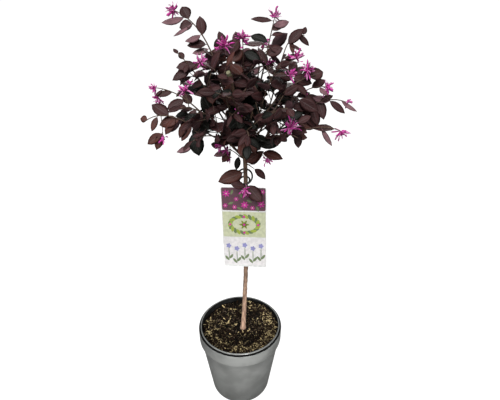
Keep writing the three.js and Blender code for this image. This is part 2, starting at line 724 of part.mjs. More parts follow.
/** A loop of the tie: a ring that leans back from the knot over the card to just behind the stem. */
function tieLoop(top) {
  const back = stemAt(top);
  back.y += stemRadiusAt(top) + LOOP_ROOM;
  const way = back.clone().sub(KNOT);
  return {
    centre: back.add(KNOT).divideScalar(2),
    radius: way.length() / 2,
    slope: Math.atan2(way.z, Math.hypot(way.x, way.y)),
    turn: -Math.atan2(way.x, way.y),
  };
}

/** Points round a loop, for what grows near it. */
function loopPoints({ centre, radius, slope, turn }) {
  return new THREE.Path()
    .absarc(0, 0, radius, 0, 2 * Math.PI)
    .getSpacedPoints(40)
    .map(({ x, y }) => new THREE.Vector3(x, y * Math.cos(slope), y * Math.sin(slope)))
    .map((offset) => offset.applyAxisAngle(UP, turn).add(centre));
}

const loops = LOOP_TOPS.map(tieLoop);
const stemLine = new THREE.CatmullRomCurve3(trunkPoints);
const limbs = [
  { points: stretch(stemLine, 0.7, 1, 60), radius: STEM_TOP_RADIUS + 1 },
  ...loops.map((loop) => ({ points: loopPoints(loop), radius: RING.wire })),
];
const masses = [];
const boughs = [];

/** Adds a bough: the first part of a curve as one tapering limb. */
function addBough(name, curve, share) {
  const radii = taper(BOUGH_RADIUS, BOUGH_TIP_RADIUS, 4);
  const points = stretch(curve, 0, share, 4);
  const cutter = tube(points, radii.map((radius) => radius + SEAT_GAP), 5);
  boughs.push({ name, solid: tube(points, radii, 5), cutter });
  limbs.push({ points: stretch(curve, 0, share, 30), radius: BOUGH_RADIUS });
}

/** A mass's stem on a curve, from a share of its length to its tip, and what it bears. */
function addMass(name, curve, from, reach, bears = { branches: true, blooms: true }) {
  const axis = stretch(curve, from, 1, 5);
  const length = curve.getLength() * (1 - from);
  masses.push({ name, axis, length, reach, ...bears, seed: FIRST_SEED + masses.length * SEED_STEP });
}

/** A spray's tip, short of its reach. */
function sprayTip({ azimuth, elevation, reach }) {
  return polar(azimuth, elevation, reach - TIP_ROOM, CROWN_HEART);
}

for (const { name, from, rises, lead, side, upper } of BOUGHS) {
  const curve = limbCurve(stemAt(from), sprayTip(lead), lead.azimuth, rises, lead.pitch);
  addBough(name, curve, BOUGH_SHARE);
  addMass(name, curve, BOUGH_SHARE + SEAT_GAP / curve.getLength(), lead.reach);

  const fork = curve.getPointAt(BOUGH_SHARE * FORK_SHARE);
  const sideCurve = limbCurve(fork, sprayTip(side), side.azimuth, rises * SIDE_RISE, side.pitch);
  addMass(name + "_side", sideCurve, 0, side.reach);
  if (!upper) continue;
  const upperCurve = limbCurve(fork, sprayTip(upper), upper.azimuth, rises * UPPER_RISE, upper.pitch);
  addMass(name + "_upper", upperCurve, 0, upper.reach);
}

const { azimuth, elevation, reach, pitch } = CUT_BOUGH.tip;
const cutEnd = polar(azimuth, elevation, reach, CROWN_HEART);
addBough(CUT_BOUGH.name, limbCurve(stemAt(CUT_BOUGH.from), cutEnd, azimuth, CUT_BOUGH.rises, pitch), 1);

for (const shoot of SHOOTS) {
  const start = stemAt(shoot.from);
  const end = polar(shoot.azimuth, shoot.elevation, shoot.reach, start);
  const curve = limbCurve(start, end, shoot.azimuth, SHOOT_RISE, shoot.pitch);
  addMass(shoot.name, curve, 0, shoot.reach, { blooms: shoot.blooms, leaves: shoot.leaves });
}

/** A card with round corners and a punched hole, hung from its ring. */
function cardGeometry() {
  const { width, height, thickness, corner } = CARD;
  const outline = new THREE.Shape();
  outline.moveTo(-width / 2 + corner, -height);
  outline.lineTo(width / 2 - corner, -height);
  outline.absarc(width / 2 - corner, -height + corner, corner, -Math.PI / 2, 0);
  outline.absarc(width / 2 - corner, -corner, corner, 0, Math.PI / 2);
  outline.absarc(-width / 2 + corner, -corner, corner, Math.PI / 2, Math.PI);
  outline.absarc(-width / 2 + corner, -height + corner, corner, Math.PI, 1.5 * Math.PI);
  const hole = new THREE.Path();
  const ringFoot = RING.wire + SEAT_GAP - RING.radius;
  hole.absarc(0, ringFoot - CARD_HOLE_RADIUS, CARD_HOLE_RADIUS, 0, 2 * Math.PI, true);
  outline.holes.push(hole);
  const shape = { depth: thickness, bevelEnabled: false, curveSegments: 3 };
  const card = new THREE.ExtrudeGeometry(outline, shape);
  return card.translate(0, 0, -thickness / 2).rotateX(Math.PI / 2);
}

/** The card's tie: a wire ring through the card, a knot over it, and two loops round the stem. */
function tieSolid() {
  const wire = (radius) => new THREE.TorusGeometry(radius, RING.wire, LOOP_SIDES, LOOP_STEPS);
  const ring = solidOf(wire(RING.radius).rotateY(Math.PI / 2).translate(CARD.x, CARD.y, CARD.top));
  const knot = solidOf(new THREE.IcosahedronGeometry(KNOT_RADIUS, 0).translate(KNOT.x, KNOT.y, KNOT.z));
  const rounds = loops.map(({ centre, radius, slope, turn }) =>
    solidOf(wire(radius).rotateX(slope).rotateZ(turn).translate(centre.x, centre.y, centre.z)));
  return Manifold.union([ring, knot, ...rounds]);
}

const MATERIALS = {
  pot: { color: 0x6e7171, roughness: 0.45 },
  soil: { color: 0x2b2119, roughness: 0.95 },
  bark: { color: 0x9a7b62, roughness: 0.8 },
  plumLeaf: { color: 0x4a2a30, roughness: 0.55 },
  card: { color: 0xe9e7dd, roughness: 0.35 },
  tie: { color: 0x1f2a20, roughness: 0.5 },
};
for (const key of Object.keys(MATERIALS)) {
  MATERIALS[key] = new THREE.MeshStandardMaterial({ ...MATERIALS[key], metalness: 0 });
}

const plant = new THREE.Group();

/** Adds one named sub-part to a group. */
function addNode(name, geometry, material, group = plant) {
  geometry.computeVertexNormals();
  const mesh = new THREE.Mesh(geometry, material);
  mesh.name = name;
  group.add(mesh);
}

addNode("pot", turned(potProfile()), MATERIALS.pot);
addNode("soil", soilGeometry(), MATERIALS.soil);
addNode("trunk", geometryOf(trunk), MATERIALS.bark);
for (const { name, solid } of boughs) {
  addNode("bough_" + name, geometryOf(solid.subtract(trunkCutter)), MATERIALS.bark);
}

const stemCutter = Manifold.union([trunkCutter, ...boughs.map(({ cutter }) => cutter)]);
for (const mass of masses) {
  addNode("foliage_" + mass.name, fused(grow(mass, masses, limbs), stemCutter), MATERIALS.plumLeaf);
}

const hanger = new THREE.Group();
hanger.position.set(CARD.x, CARD.y, CARD.top);
hanger.rotation.set(0, CARD_TILT, CARD_TURN);
addNode("label_card", cardGeometry(), MATERIALS.card, hanger);
plant.add(hanger);
addNode("label_tie", geometryOf(tieSolid()), MATERIALS.tie);

export default plant;
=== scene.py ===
"""A potted Chinese fringe flower trained as a small standard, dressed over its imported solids.

Metres, in the part's own frame: +Z up, the origin at the centre of the pot's flat underside, the front
towards -Y. Each piece is worked out as whole arrays: a profile turned or carried along a path, or a
surface of two parameters on a grid. The crown grows by the rule that its solids follow, with more and
finer twigs, from the same stems.
"""
import functools
import math

import bpy
import numpy as np
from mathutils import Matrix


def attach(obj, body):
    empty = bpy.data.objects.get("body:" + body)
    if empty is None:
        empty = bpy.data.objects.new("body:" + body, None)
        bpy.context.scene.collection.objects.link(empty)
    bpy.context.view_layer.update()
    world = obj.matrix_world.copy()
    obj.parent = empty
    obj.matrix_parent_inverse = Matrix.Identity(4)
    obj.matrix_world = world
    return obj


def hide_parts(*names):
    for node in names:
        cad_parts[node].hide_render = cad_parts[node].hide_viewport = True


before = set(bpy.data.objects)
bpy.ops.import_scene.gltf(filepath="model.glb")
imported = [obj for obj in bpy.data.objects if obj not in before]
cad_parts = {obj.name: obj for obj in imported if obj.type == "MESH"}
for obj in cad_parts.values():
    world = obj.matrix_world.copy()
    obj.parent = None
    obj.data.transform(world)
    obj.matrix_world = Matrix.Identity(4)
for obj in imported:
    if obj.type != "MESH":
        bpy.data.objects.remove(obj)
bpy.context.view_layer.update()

bl_info = {
    "name": "Potted fringe flower",
    "version": (1, 0, 0),
    "blender": (4, 5, 0),
    "location": "3D View > Sidebar > Plant",
    "description": "Makes a small standard fringe flower in its pot",
    "category": "Add Mesh",
}

BODY = "root"
UP = np.array([0.0, 0.0, 1.0])
GOLDEN_ANGLE = math.radians(137.5)

# The stem, as in the solids
STEM_FOOT = np.array([0.0066, 0.0, 0.158])
STEM_TOP = np.array([0.012, 0.0, 0.616])
STEM_BOW = np.array([0.006, 0.0015, 0.0])

# The crown's sprays, as in the solids: reaches and heights in metres, angles in degrees. A bough has the
# height where it leaves the stem, its slope there, and up to three sprays, each with its azimuth,
# elevation and reach from the crown's heart and the slope at its tip.
CROWN_HEART = np.array([0.012, 0.0, 0.585])
CROWN_TOP = 0.816
BOUGH_SHARE = 0.3
FORK_SHARE = 0.6
TIP_ROOM = 0.012
LEAVING_SHARE, ARRIVING_SHARE = 0.32, 0.34
CURVE_POINTS = 400
EVEN_POINTS = 200
LIMB_POINTS = 24
MASS_OVERLAP = 0.01
FORK_KINDS = (("_side", 0.5), ("_upper", 1.7))
SHOOT_RISE = 10
LEADER_RADIUS, FORK_RADIUS, SHOOT_RADIUS = 0.00188, 0.0016, 0.0013
FIRST_SEED, SEED_STEP = 55, 37
BOUGHS = {
    "right": (0.560, 38, (3, 23, 0.211, -22), (-9, 11, 0.185, -26), (-4, 37, 0.186, -8)),
    "left": (0.564, 40, (180, 34, 0.196, 4), (191, 17, 0.188, -36)),
    "front_right": (0.568, 38, (-58, 33, 0.158, 0), (-40, 15, 0.130, -24), (-44, 60, 0.172, 40)),
    "back_left": (0.572, 42, (143, 38, 0.182, 6), (150, 18, 0.160, -16), (136, 60, 0.190, 40)),
    "front_left": (0.576, 40, (-138, 32, 0.160, 0), (-134, 14, 0.128, -24), (-118, 56, 0.172, 40)),
    "back_right": (0.580, 42, (44, 36, 0.184, 2), (36, 16, 0.164, -16)),
    "front": (0.584, 42, (-98, 40, 0.172, 16), (-86, 19, 0.150, -14)),
    "back": (0.588, 46, (94, 42, 0.180, 6), (96, 18, 0.162, -18), (98, 66, 0.196, 50)),
    "upper_left": (0.592, 58, (175, 63, 0.259, 20), (201, 55, 0.202, 40)),
    "right_top": (0.596, 50, (-12, 46, 0.184, 12), (24, 58, 0.232, -20)),
    "top": (0.609, 76, (-92, 84, 0.190, 74), (-126, 74, 0.184, 56)),
    "upper_right": (0.604, 66, (14, 76, 0.230, 76), (62, 66, 0.204, 40)),
}

# The pruned bough, with a spray's values for its tip, and the way that its pale end is seen from
CUT_BOUGH = (0.600, 62, (-106, 58.6, 0.150, 44))
CUT_BOUGH_SIGHT = np.array([0.0, -0.96, 0.28])

# Shoots under the crown: the height where each leaves the stem, its azimuth, elevation and reach from
# there, and the slope at its tip
SHOOTS = {
    "low_right": (0.553, -32, -18, 0.020, -20),
    "low_far_right": (0.561, -46, 26, 0.047, 0),
    "low_front": (0.545, -88, -41, 0.046, -66),
    "low_far_left": (0.563, -145, 29, 0.044, -4),
    "low_left": (0.537, -128, 4, 0.011, -10),
}

# Sprays that end in a blossom, with its size as a share of a full one
BLOOMING = {
    "upper_left": 1.0, "upper_right": 0.95, "top": 1.0, "top_side": 1.1, "left": 0.6, "right_upper": 0.9,
    "right": 0.6, "right_side": 1.0, "low_front": 1.1, "low_far_left": 0.7,
    "back": 0.9, "back_left": 1.0, "back_right": 1.0, "back_upper": 0.9, "back_left_upper": 0.8,
    "upper_right_side": 0.9,
}

# Leaves that show singly along a spray's stem: where on the stem, azimuth and elevation in degrees,
# length in metres, width as a share of it, and tint, which is plum where none is given. A turned leaf
# shows its underside.
SHOWN_LEAVES = {
    "upper_left": (
        (0.44, 60, 30, 0.034, 0.50), (0.46, -110, 14, 0.034, 0.55),
        (0.50, 8, 24, 0.030, 0.50), (0.54, -172, -16, 0.030, 0.45, "turned"),
        (0.58, -178, -4, 0.034, 0.62), (0.68, -167, -29, 0.030, 0.50, "turned"),
        (0.66, 178, 84, 0.030, 0.60), (0.80, -164, -31, 0.038, 0.28, "turned"),
        (0.79, -172, -12, 0.024, 0.75), (0.88, -168, -14, 0.040, 0.45, "turned"),
        (0.84, 158, 58, 0.024, 0.85)),
    "upper_left_side": (
        (0.78, -165, -24, 0.036, 0.45), (0.84, -118, -45, 0.016, 0.60),
        (0.90, 150, 50, 0.016, 0.65), (0.98, 160, 44, 0.012, 0.60)),
    "upper_right": (
        (0.52, 169, 26, 0.032, 0.50), (0.58, -10, 24, 0.030, 0.70),
        (0.70, -17, -35, 0.024, 0.40), (0.72, 170, 24, 0.034, 0.52, "night"),
        (0.80, 6, 12, 0.022, 0.42), (0.85, 14, 34, 0.024, 0.62),
        (0.90, 7, 12, 0.028, 0.55, "turned"), (0.955, 178, 5, 0.038, 0.28)),
    "right_top_side": (
        (0.66, 3, 8, 0.040, 0.30), (0.84, -62, -66, 0.026, 0.35, "russet"),
        (0.78, 8, 44, 0.038, 0.50), (0.80, -11, -24, 0.028, 0.25),
        (0.92, -10, -36, 0.028, 0.40), (0.98, 30, 62, 0.016, 0.60)),
    "right_top": (
        (0.70, -20, -36, 0.028, 0.50), (0.80, 20, 45, 0.024, 0.50),
        (0.90, 8, 20, 0.027, 0.90)),
    "right_upper": (
        (0.66, 12, 18, 0.028, 0.50), (0.74, -18, -42, 0.032, 0.50),
        (0.84, 10, 30, 0.030, 0.50), (0.93, -36, -40, 0.022, 0.55, "turned")),
    "right": (
        (0.38, 14, 34, 0.036, 0.55), (0.48, -30, -46, 0.040, 0.60),
        (0.58, -56, -58, 0.038, 0.55), (0.68, 4, 28, 0.026, 0.50),
        (0.78, -16, -34, 0.038, 0.34), (0.92, -17, -35, 0.035, 0.25, "turned")),
    "right_side": (
        (0.38, -10, -6, 0.032, 0.55, "russet"), (0.48, -84, -60, 0.028, 0.55),
        (0.64, -3, 0, 0.042, 0.48), (0.76, -34, -55, 0.038, 0.26, "turned")),
    "left": (
        (0.45, -150, -52, 0.032, 0.50), (0.52, 156, 44, 0.024, 0.75),
        (0.62, -165, -28, 0.036, 0.55), (0.78, -174, -10, 0.030, 0.42),
        (0.90, -162, -36, 0.022, 0.28)),
    "left_side": (
        (0.48, -150, -45, 0.034, 0.50, "russet"), (0.56, -141, -58, 0.030, 0.45, "russet"),
        (0.62, -172, -10, 0.038, 0.60, "russet"), (0.67, -156, -52, 0.034, 0.45, "russet"),
        (0.73, 166, 30, 0.038, 0.62), (0.86, -139, -58, 0.028, 0.42, "russet"),
        (0.97, 170, 4, 0.014, 0.95, "russet")),
    "top_side": (
        (0.78, -26, -34, 0.028, 0.85, "russet"), (0.80, 22, 40, 0.028, 0.80, "russet"),
        (0.88, 38, 52, 0.032, 0.80), (0.92, 168, 8, 0.026, 0.50),
        (0.98, 135, 60, 0.028, 0.50)),
    "top": (
        (0.76, -138, -50, 0.032, 0.45), (0.82, -18, -22, 0.032, 0.55, "night"),
        (0.92, -4, 4, 0.036, 0.50)),
    "low_right": ((0.45, -29, 46, 0.042, 0.50, "russet"), (0.98, -22, -34, 0.030, 0.60)),
    "low_far_right": ((0.92, 176, -36, 0.032, 0.60, "russet"), (0.98, -16, -9, 0.040, 0.52, "russet")),
    "low_front": ((0.90, -171, 12, 0.028, 0.60), (0.82, -24, -42, 0.044, 0.58)),
    "low_far_left": (
        (0.35, -128, -72, 0.027, 0.45, "night"), (0.78, -170, -48, 0.028, 0.55, "russet"),
        (0.90, -178, -24, 0.030, 0.45, "turned")),
    "low_left": ((0.15, -164, -16, 0.054, 0.52, "russet"),),
}

# Twigs that show singly, by the spray that bears them: the azimuth, elevation and reach of their tip
# from the crown's heart, the size of the blossom there, if any, and their leaves
SHOWN_TWIGS = {
    "upper_left_side": ((-155, 62, 0.159, 1.0, ((0.7, -172, -8, 0.034, 0.5),)),),
    "upper_right": ((14, 75, 0.145, 0.35, ()),),
    "front": ((-94, 47, 0.097, 0.35, ()),),
    "front_left": ((-142, 42, 0.151, 0.8, ()), (-159, -34, 0.034, 0.35, ())),
    "front_left_side": (
        (-136, 11, 0.055, 0.8, ()), (-146, 22, 0.106, 0, ((0.98, -45, -75, 0.042, 0.62, "night"),))),
    "left": ((-179, 30, 0.169, 0.9, ()),),
    "left_side": (
        (-166, 10, 0.144, 0.7,
         ((0.8, -172, -34, 0.034, 0.5, "russet"), (0.75, -165, -66, 0.034, 0.45, "russet"))),
        (-161, 6, 0.094, 0, ((0.98, 180, -26, 0.032, 0.45, "turned"),))),
    "front_right_upper": ((-36, 56, 0.177, 0.95, ()), (-39, 53, 0.154, 0.85, ())),
    "right_top": (
        (-15, 50.5, 0.168, 1.0, ()),
        (-8, 56, 0.144, 0, ((0.98, -4, -14, 0.036, 0.55), (0.6, -150, 20, 0.03, 0.5)))),
    "right_upper": (
        (-4, 43, 0.141, 0.4, ()), (2, 50, 0.142, 0, ((0.98, 20, 24, 0.030, 0.5),))),
    "right": (
        (9, 39, 0.150, 0, ((0.98, -34, -54, 0.038, 0.6), (0.6, -8, -16, 0.034, 0.5, "turned"))),
        (6, 33, 0.157, 0, ((0.98, -56, -60, 0.040, 0.5),))),
    "right_side": ((-3, 26, 0.103, 0, ((0.98, -6, -16, 0.034, 0.55, "russet"),)),),
    "front_right_side": (
        (-39, 25, 0.107, 1.25, ()), (-67, 19, 0.052, 0, ((0.98, -7, -3, 0.040, 0.45, "night"),))),
    "front_side": ((-97, 13, 0.045, 0, ((0.98, -11, -12, 0.028, 0.5),)),),
    "low_far_right": ((-45, -13, 0.056, 0.7, ()),),
}

# The photograph's camera, and the gaps where it shows sky through the crown: across and up where the
# camera's line passes y = 0, and half their width
CAMERA_PLACE = np.array([0.0228, -0.582, 0.716])
CAMERA_DIP = 22.1
SKY_GAPS = (
    (0.055, 0.671, 0.0080), (0.044, 0.711, 0.0080), (0.002, 0.730, 0.0070), (-0.072, 0.656, 0.0080),
    (-0.056, 0.664, 0.0070), (-0.027, 0.639, 0.0090), (-0.051, 0.601, 0.0090), (-0.093, 0.604, 0.0090),
    (0.044, 0.612, 0.0080), (-0.100, 0.667, 0.0080), (-0.051, 0.700, 0.0060), (0.024, 0.639, 0.0050),
    (0.070, 0.645, 0.0050), (-0.114, 0.704, 0.0090), (0.104, 0.595, 0.0080),
    (0.035, 0.778, 0.0080), (-0.029, 0.667, 0.0045), (0.022, 0.671, 0.0045), (0.034, 0.647, 0.0045),
    (0.005, 0.694, 0.0045), (0.138, 0.632, 0.0070),
)


# Settings

def number(name, description, default, **limits):
    """A number that can be set."""
    return bpy.props.FloatProperty(name=name, description=description, default=default, **limits)


def metres(name, description, default):
    """A length that can be set, in metres."""
    return number(name, description, default, unit="LENGTH")


def whole(name, description, default):
    """A whole number that can be set."""
    return bpy.props.IntProperty(name=name, description=description, default=default)


def tone(name, description, default):
    """A colour that can be set."""
    return bpy.props.FloatVectorProperty(
        name=name, description=description, default=default, subtype="COLOR")


class PotSettings(bpy.types.PropertyGroup):
    """The nursery pot's sizes and finish."""

    height: metres("Height", "From the flat underside to the lip", 0.174)
    rim_radius: metres("Rim radius", "Outer radius of the collar's top", 0.095)
    shoulder_radius: metres("Shoulder radius", "Radius of the wall just under the collar", 0.0904)
    foot_radius: metres("Foot radius", "Radius at the foot", 0.0696)
    collar: metres("Collar", "Height of the collar", 0.0335)
    wall: metres("Wall", "Thickness of the wall", 0.0018)
    colour: tone("Colour", "Plastic of the wall", (0.104, 0.107, 0.102))
    # Painted highlight: the lip and the collar's rounded top take a lighter grey than the wall, for the
    # light that their edge catches.
    lip_highlight_colour: tone("Lip colour", "Lip and collar top, lighter as a painted highlight", (0.128, 0.132, 0.126))


class SoilSettings(bpy.types.PropertyGroup):
    """The potting soil's sizes and finish."""

    top: metres("Top", "Height of the soil's surface", 0.158)
    lump: metres("Lump", "Height of the crumbs", 0.0016)
    chips: whole("Chips", "Number of bark chips strewn on it", 4600)
    colour: tone("Colour", "Moist peat", (0.0028, 0.0020, 0.0011))
    chip_colour: tone("Chip colour", "Weathered bark chips", (0.56, 0.44, 0.225))


class StemSettings(bpy.types.PropertyGroup):
    """The stem's and boughs' sizes and bark."""

    foot_radius: metres("Foot radius", "Stem radius at the soil", 0.0049)
    top_radius: metres("Top radius", "Stem radius at its top", 0.0038)
    flare: metres("Flare", "Added to the radius at the soil", 0.0024)
    flare_height: metres("Flare height", "Height in which the flare fades", 0.011)
    bough_radius: metres("Bough radius", "At the stem", 0.0027)
    bough_tip_radius: metres("Bough tip radius", "Where its foliage begins", 0.0019)
    knob: metres("Knob", "Radius of the healed end of the pruned bough", 0.0038)
    relief: metres("Relief", "Depth of the bark's ridges", 0.0003)
    pith: tone("Cut wood", "Face of the pruned bough", (0.31, 0.30, 0.18))
    colour: tone("Bark", "Ridges of the bark", (0.29, 0.185, 0.125))
    shade: tone("Bark shade", "Furrows of the bark", (0.13, 0.075, 0.050))


class FoliageSettings(bpy.types.PropertyGroup):
    """The sizes and colours of the twigs and leaves."""

    leaf_length: metres("Old leaf length", "Leaves near the crown's heart", 0.040)
    young_length: metres("Young leaf length", "Leaves at the crown's edge", 0.034)
    front_loss: number("Front loss", "Share of their length that the front leaves lack", 0.28)
    leaf_width: number("Leaf width", "As a share of the length", 0.56, min=0.1, max=1.0)
    leaf_spacing: metres("Leaf spacing", "Along stems and twigs", 0.0124)
    twig_spacing: metres("Twig spacing", "Along a spray's stem", 0.0175)
    twig_length: metres("Twig length", "Of the longest side twigs", 0.040)
    twig_radius: metres("Twig radius", "At a side twig's foot", 0.0008)
    plum: tone("Plum", "Most leaves", (0.0560, 0.0213, 0.0216))
    russet: tone("Russet", "Younger and lower leaves", (0.088, 0.030, 0.023))
    # Painted shade: this near-black tint darkens older leaves inside the crown and at its back, for the
    # shade there.
    night: tone("Night", "Old leaves inside the crown", (0.0075, 0.0085, 0.0062))
    underside: tone("Underside", "Undersides of the leaves", (0.22, 0.115, 0.13))


class BlossomSettings(bpy.types.PropertyGroup):
    """The strap-petalled flowers' sizes and colours."""

    petal_length: metres("Petal length", "Of the longest straps", 0.0175)
    petal_width: metres("Petal width", "Of a strap", 0.0030)
    petals: whole("Petals", "Straps in a full cluster", 28)
    colour: tone("Petal", "Most straps", (0.82, 0.070, 0.48))
    pale: tone("Pale petal", "Older straps", (0.92, 0.34, 0.68))


class CardSettings(bpy.types.PropertyGroup):
    """The hanging card's sizes and colours."""

    width: metres("Width", "Across the card", 0.088)
    height: metres("Height", "Down the card", 0.176)
    thickness: metres("Thickness", "Of the plastic sheet", 0.0008)
    corner: metres("Corner", "Radius of the corners", 0.004)
    hole: metres("Hole", "Radius of the hole for the ring", 0.0024)
    ring: metres("Ring", "Radius of the ring through the hole", 0.0055)
    wire: metres("Wire", "Radius of the tie's wire", 0.0017)
    paper: tone("Paper", "Unprinted plastic", (0.90, 0.90, 0.88))
    band: tone("Band", "Dark upper band", (0.165, 0.078, 0.105))
    rosette: tone("Rosettes", "Rosettes on the band, and dots", (0.74, 0.050, 0.40))
    lawn: tone("Lawn", "Middle panel, and the rosettes' eyes", (0.70, 0.73, 0.50))
    bush: tone("Green leaves", "Sprigs, stalks and half of the wreath", (0.20, 0.27, 0.13))
    bright: tone("Bright leaves", "Star and half of the wreath", (0.42, 0.52, 0.09))
    lilac: tone("Lilac", "Lower panel", (0.95, 0.92, 0.92))
    violet: tone("Violet", "Small flowers of the lower panel", (0.36, 0.36, 0.68))
    tie: tone("Tie", "Coated wire of the tie", (0.006, 0.009, 0.006))


class StageSettings(bpy.types.PropertyGroup):
    """The floor and lights."""

    floor: tone("Floor", "Colour of the floor", (0.25, 0.25, 0.25))
    glow: number("Glow", "Brightness that the camera sees besides the lights", 0.92, min=0.0)
    sky: number("Surround", "Strength of the white surround", 0.22, min=0.0)
    sun: number("Even light", "Strength of the wide light from the front", 2.2, min=0.0)
    key: number("Key light", "Power of the large light", 20.0, unit="POWER")
    low: number("Low light", "Power of the soft light on the pot", 70.0, unit="POWER")


SETTINGS = {
    "plant_pot": PotSettings,
    "plant_soil": SoilSettings,
    "plant_stem": StemSettings,
    "plant_foliage": FoliageSettings,
    "plant_blossom": BlossomSettings,
    "plant_card": CardSettings,
    "plant_stage": StageSettings,
}


# Numbers and vectors

def seeded(seed):
    """A repeatable run of numbers from 0 to 1: each is the last one times a constant, plus another."""
    state = seed % 2**32

    def rand():
        nonlocal state
        state = (state * 1664525 + 1013904223) % 2**32
        return state / 2**32

    return rand


def unit(vectors):
    """Vectors of length one."""
    return vectors / np.linalg.norm(vectors, axis=-1, keepdims=True)


def smoothstep(x, low, high):
    """0 below low, 1 above high, and 3t^2 - 2t^3 between them."""
    t = np.clip((x - low) / (high - low), 0, 1)
    return t * t * (3 - 2 * t)


def polar(azimuth, elevation, distance, centre=np.zeros(3)):
    """A point at an azimuth and elevation, in degrees, and a distance, from a centre."""
    a, e = math.radians(azimuth), math.radians(elevation)
    direction = np.array([math.cos(a) * math.cos(e), math.sin(a) * math.cos(e), math.sin(e)])
    return centre + direction * distance


WAVE_SPREAD = (0.6, 1.6)


def ripples(points, wavelength, seed, waves=12):
    """Smooth noise from about -1 to 1: the sum of sine waves in random directions, all of a like length,
    over the root of their number."""
    rng = np.random.default_rng(seed)
    ways = unit(rng.normal(size=(waves, 3))) * rng.uniform(*WAVE_SPREAD, (waves, 1))
    ways = ways * 2 * math.pi / wavelength
    phases = rng.uniform(0, 2 * math.pi, waves)
    return np.sin(points @ ways.T + phases).sum(-1) / math.sqrt(waves)


# Meshes from arrays

def grid_faces(rows, columns, wrap=True):
    """The quads of a grid of rows by columns points. wrap joins the last column to the first."""
    i = np.arange(rows - 1)[:, None] * columns
    j = np.arange(columns if wrap else columns - 1)[None, :]
    after = (j + 1) % columns
    return np.stack([i + j, i + after, i + after + columns, i + j + columns], -1).reshape(-1, 4)


def loop_faces(rows, columns):
    """The quads of a grid of rows by columns points that closes on itself both ways."""
    i = np.arange(rows)[:, None]
    j = np.arange(columns)[None, :]
    ahead, after = (i + 1) % rows * columns, (j + 1) % columns
    here = i * columns
    return np.stack([here + j, here + after, ahead + after, ahead + j], -1).reshape(-1, 4)


def rings_shape(rings):
    """Closed shapes from rings of points, an array (shapes, rings, sides, 3): the rings are joined in a
    grid, and each end is closed by a fan of triangles round its ring's mean point."""
    count, rows, sides, _ = rings.shape
    ends = np.stack([rings[:, 0].mean(1), rings[:, -1].mean(1)], 1)
    points = np.concatenate([rings.reshape(count, -1, 3), ends], 1)
    k = np.arange(sides)
    after = (k + 1) % sides
    last = (rows - 1) * sides
    none = np.full(sides, -1)
    foot = np.stack([np.full(sides, rows * sides), after, k, none], -1)
    tip = np.stack([np.full(sides, rows * sides + 1), last + k, last + after, none], -1)
    faces = np.concatenate([grid_faces(rows, sides), foot, tip])
    return copies(points, faces)


def copies(points, faces):
    """One mesh from like shapes: points (shapes, n, 3), and the faces of one shape, where -1 is no
    corner."""
    count, size, _ = points.shape
    shift = np.arange(count)[:, None, None] * size
    moved = np.where(faces[None] < 0, -1, faces[None] + shift)
    return points.reshape(-1, 3), moved.reshape(-1, faces.shape[1])


def joined(shapes):
    """One mesh from several, each a pair of points and faces."""
    points, faces, start = [], [], 0
    for shape_points, shape_faces in shapes:
        points.append(shape_points)
        faces.append(np.where(shape_faces < 0, -1, shape_faces + start))
        start += len(shape_points)
    return np.concatenate(points), np.concatenate(faces)


STEEP = 0.8


def frames_along(paths):
    """For paths (shapes, rings, 3): the way each ring faces, and two directions square to it."""
    along = unit(np.gradient(paths, axis=1))
    steep = np.abs(along.mean(1)[:, 2]) > STEEP
    aside = np.where(steep[:, None], [1.0, 0.0, 0.0], UP)[:, None]
    across = unit(np.cross(along, aside))
    return along, across, np.cross(along, across)


def circles_along(paths, sides):
    """The ways out from each ring's middle to its points: the cosine and sine of their angle on two
    directions square to the path."""
    _, across, third = frames_along(paths)
    angle = np.arange(sides) * 2 * math.pi / sides
    return np.cos(angle)[:, None] * across[:, :, None] + np.sin(angle)[:, None] * third[:, :, None]


def tubes(paths, radii, sides):
    """Round tapering tubes along paths (shapes, rings, 3): ring points are the path's point plus the
    radius times the way out."""
    return rings_shape(paths[:, :, None] + radii[:, :, None, None] * circles_along(paths, sides))


def turned(profile, sides):
    """A closed solid of revolution about Z: profile rows are (radius, height), from the axis out along
    the underside, up, and back to the axis."""
    angle = np.arange(sides) * 2 * math.pi / sides
    radius, height = profile[:, 0, None], profile[:, 1, None]
    rings = np.stack([radius * np.cos(angle), radius * np.sin(angle), height + 0 * angle], -1)
    return rings_shape(rings[None])


def plates(outlines, front, back):
    """Flat plates from outlines (shapes, corners, 2) of across and up that run anticlockwise as seen from
    the front. Their faces lie at the depths front and back."""
    across, up = outlines[..., 0], outlines[..., 1]
    rings = [np.stack([across, np.full_like(across, depth), up], -1) for depth in (back, front)]
    return rings_shape(np.stack(rings, 1))


def hoop(centre, first, second, radius, wire, steps=48, sides=8):
    """A closed wire ring: round a circle in the plane of two unit directions, a small circle of the
    wire's radius on the way out from the centre and the way square to the plane."""
    turn = (np.arange(steps) * 2 * math.pi / steps)[:, None, None]
    small = (np.arange(sides) * 2 * math.pi / sides)[None, :, None]
    out = first * np.cos(turn) + second * np.sin(turn)
    aside = np.cross(second, first)
    points = centre + out * (radius + wire * np.cos(small)) + aside * (wire * np.sin(small))
    return points.reshape(-1, 3), loop_faces(steps, sides)


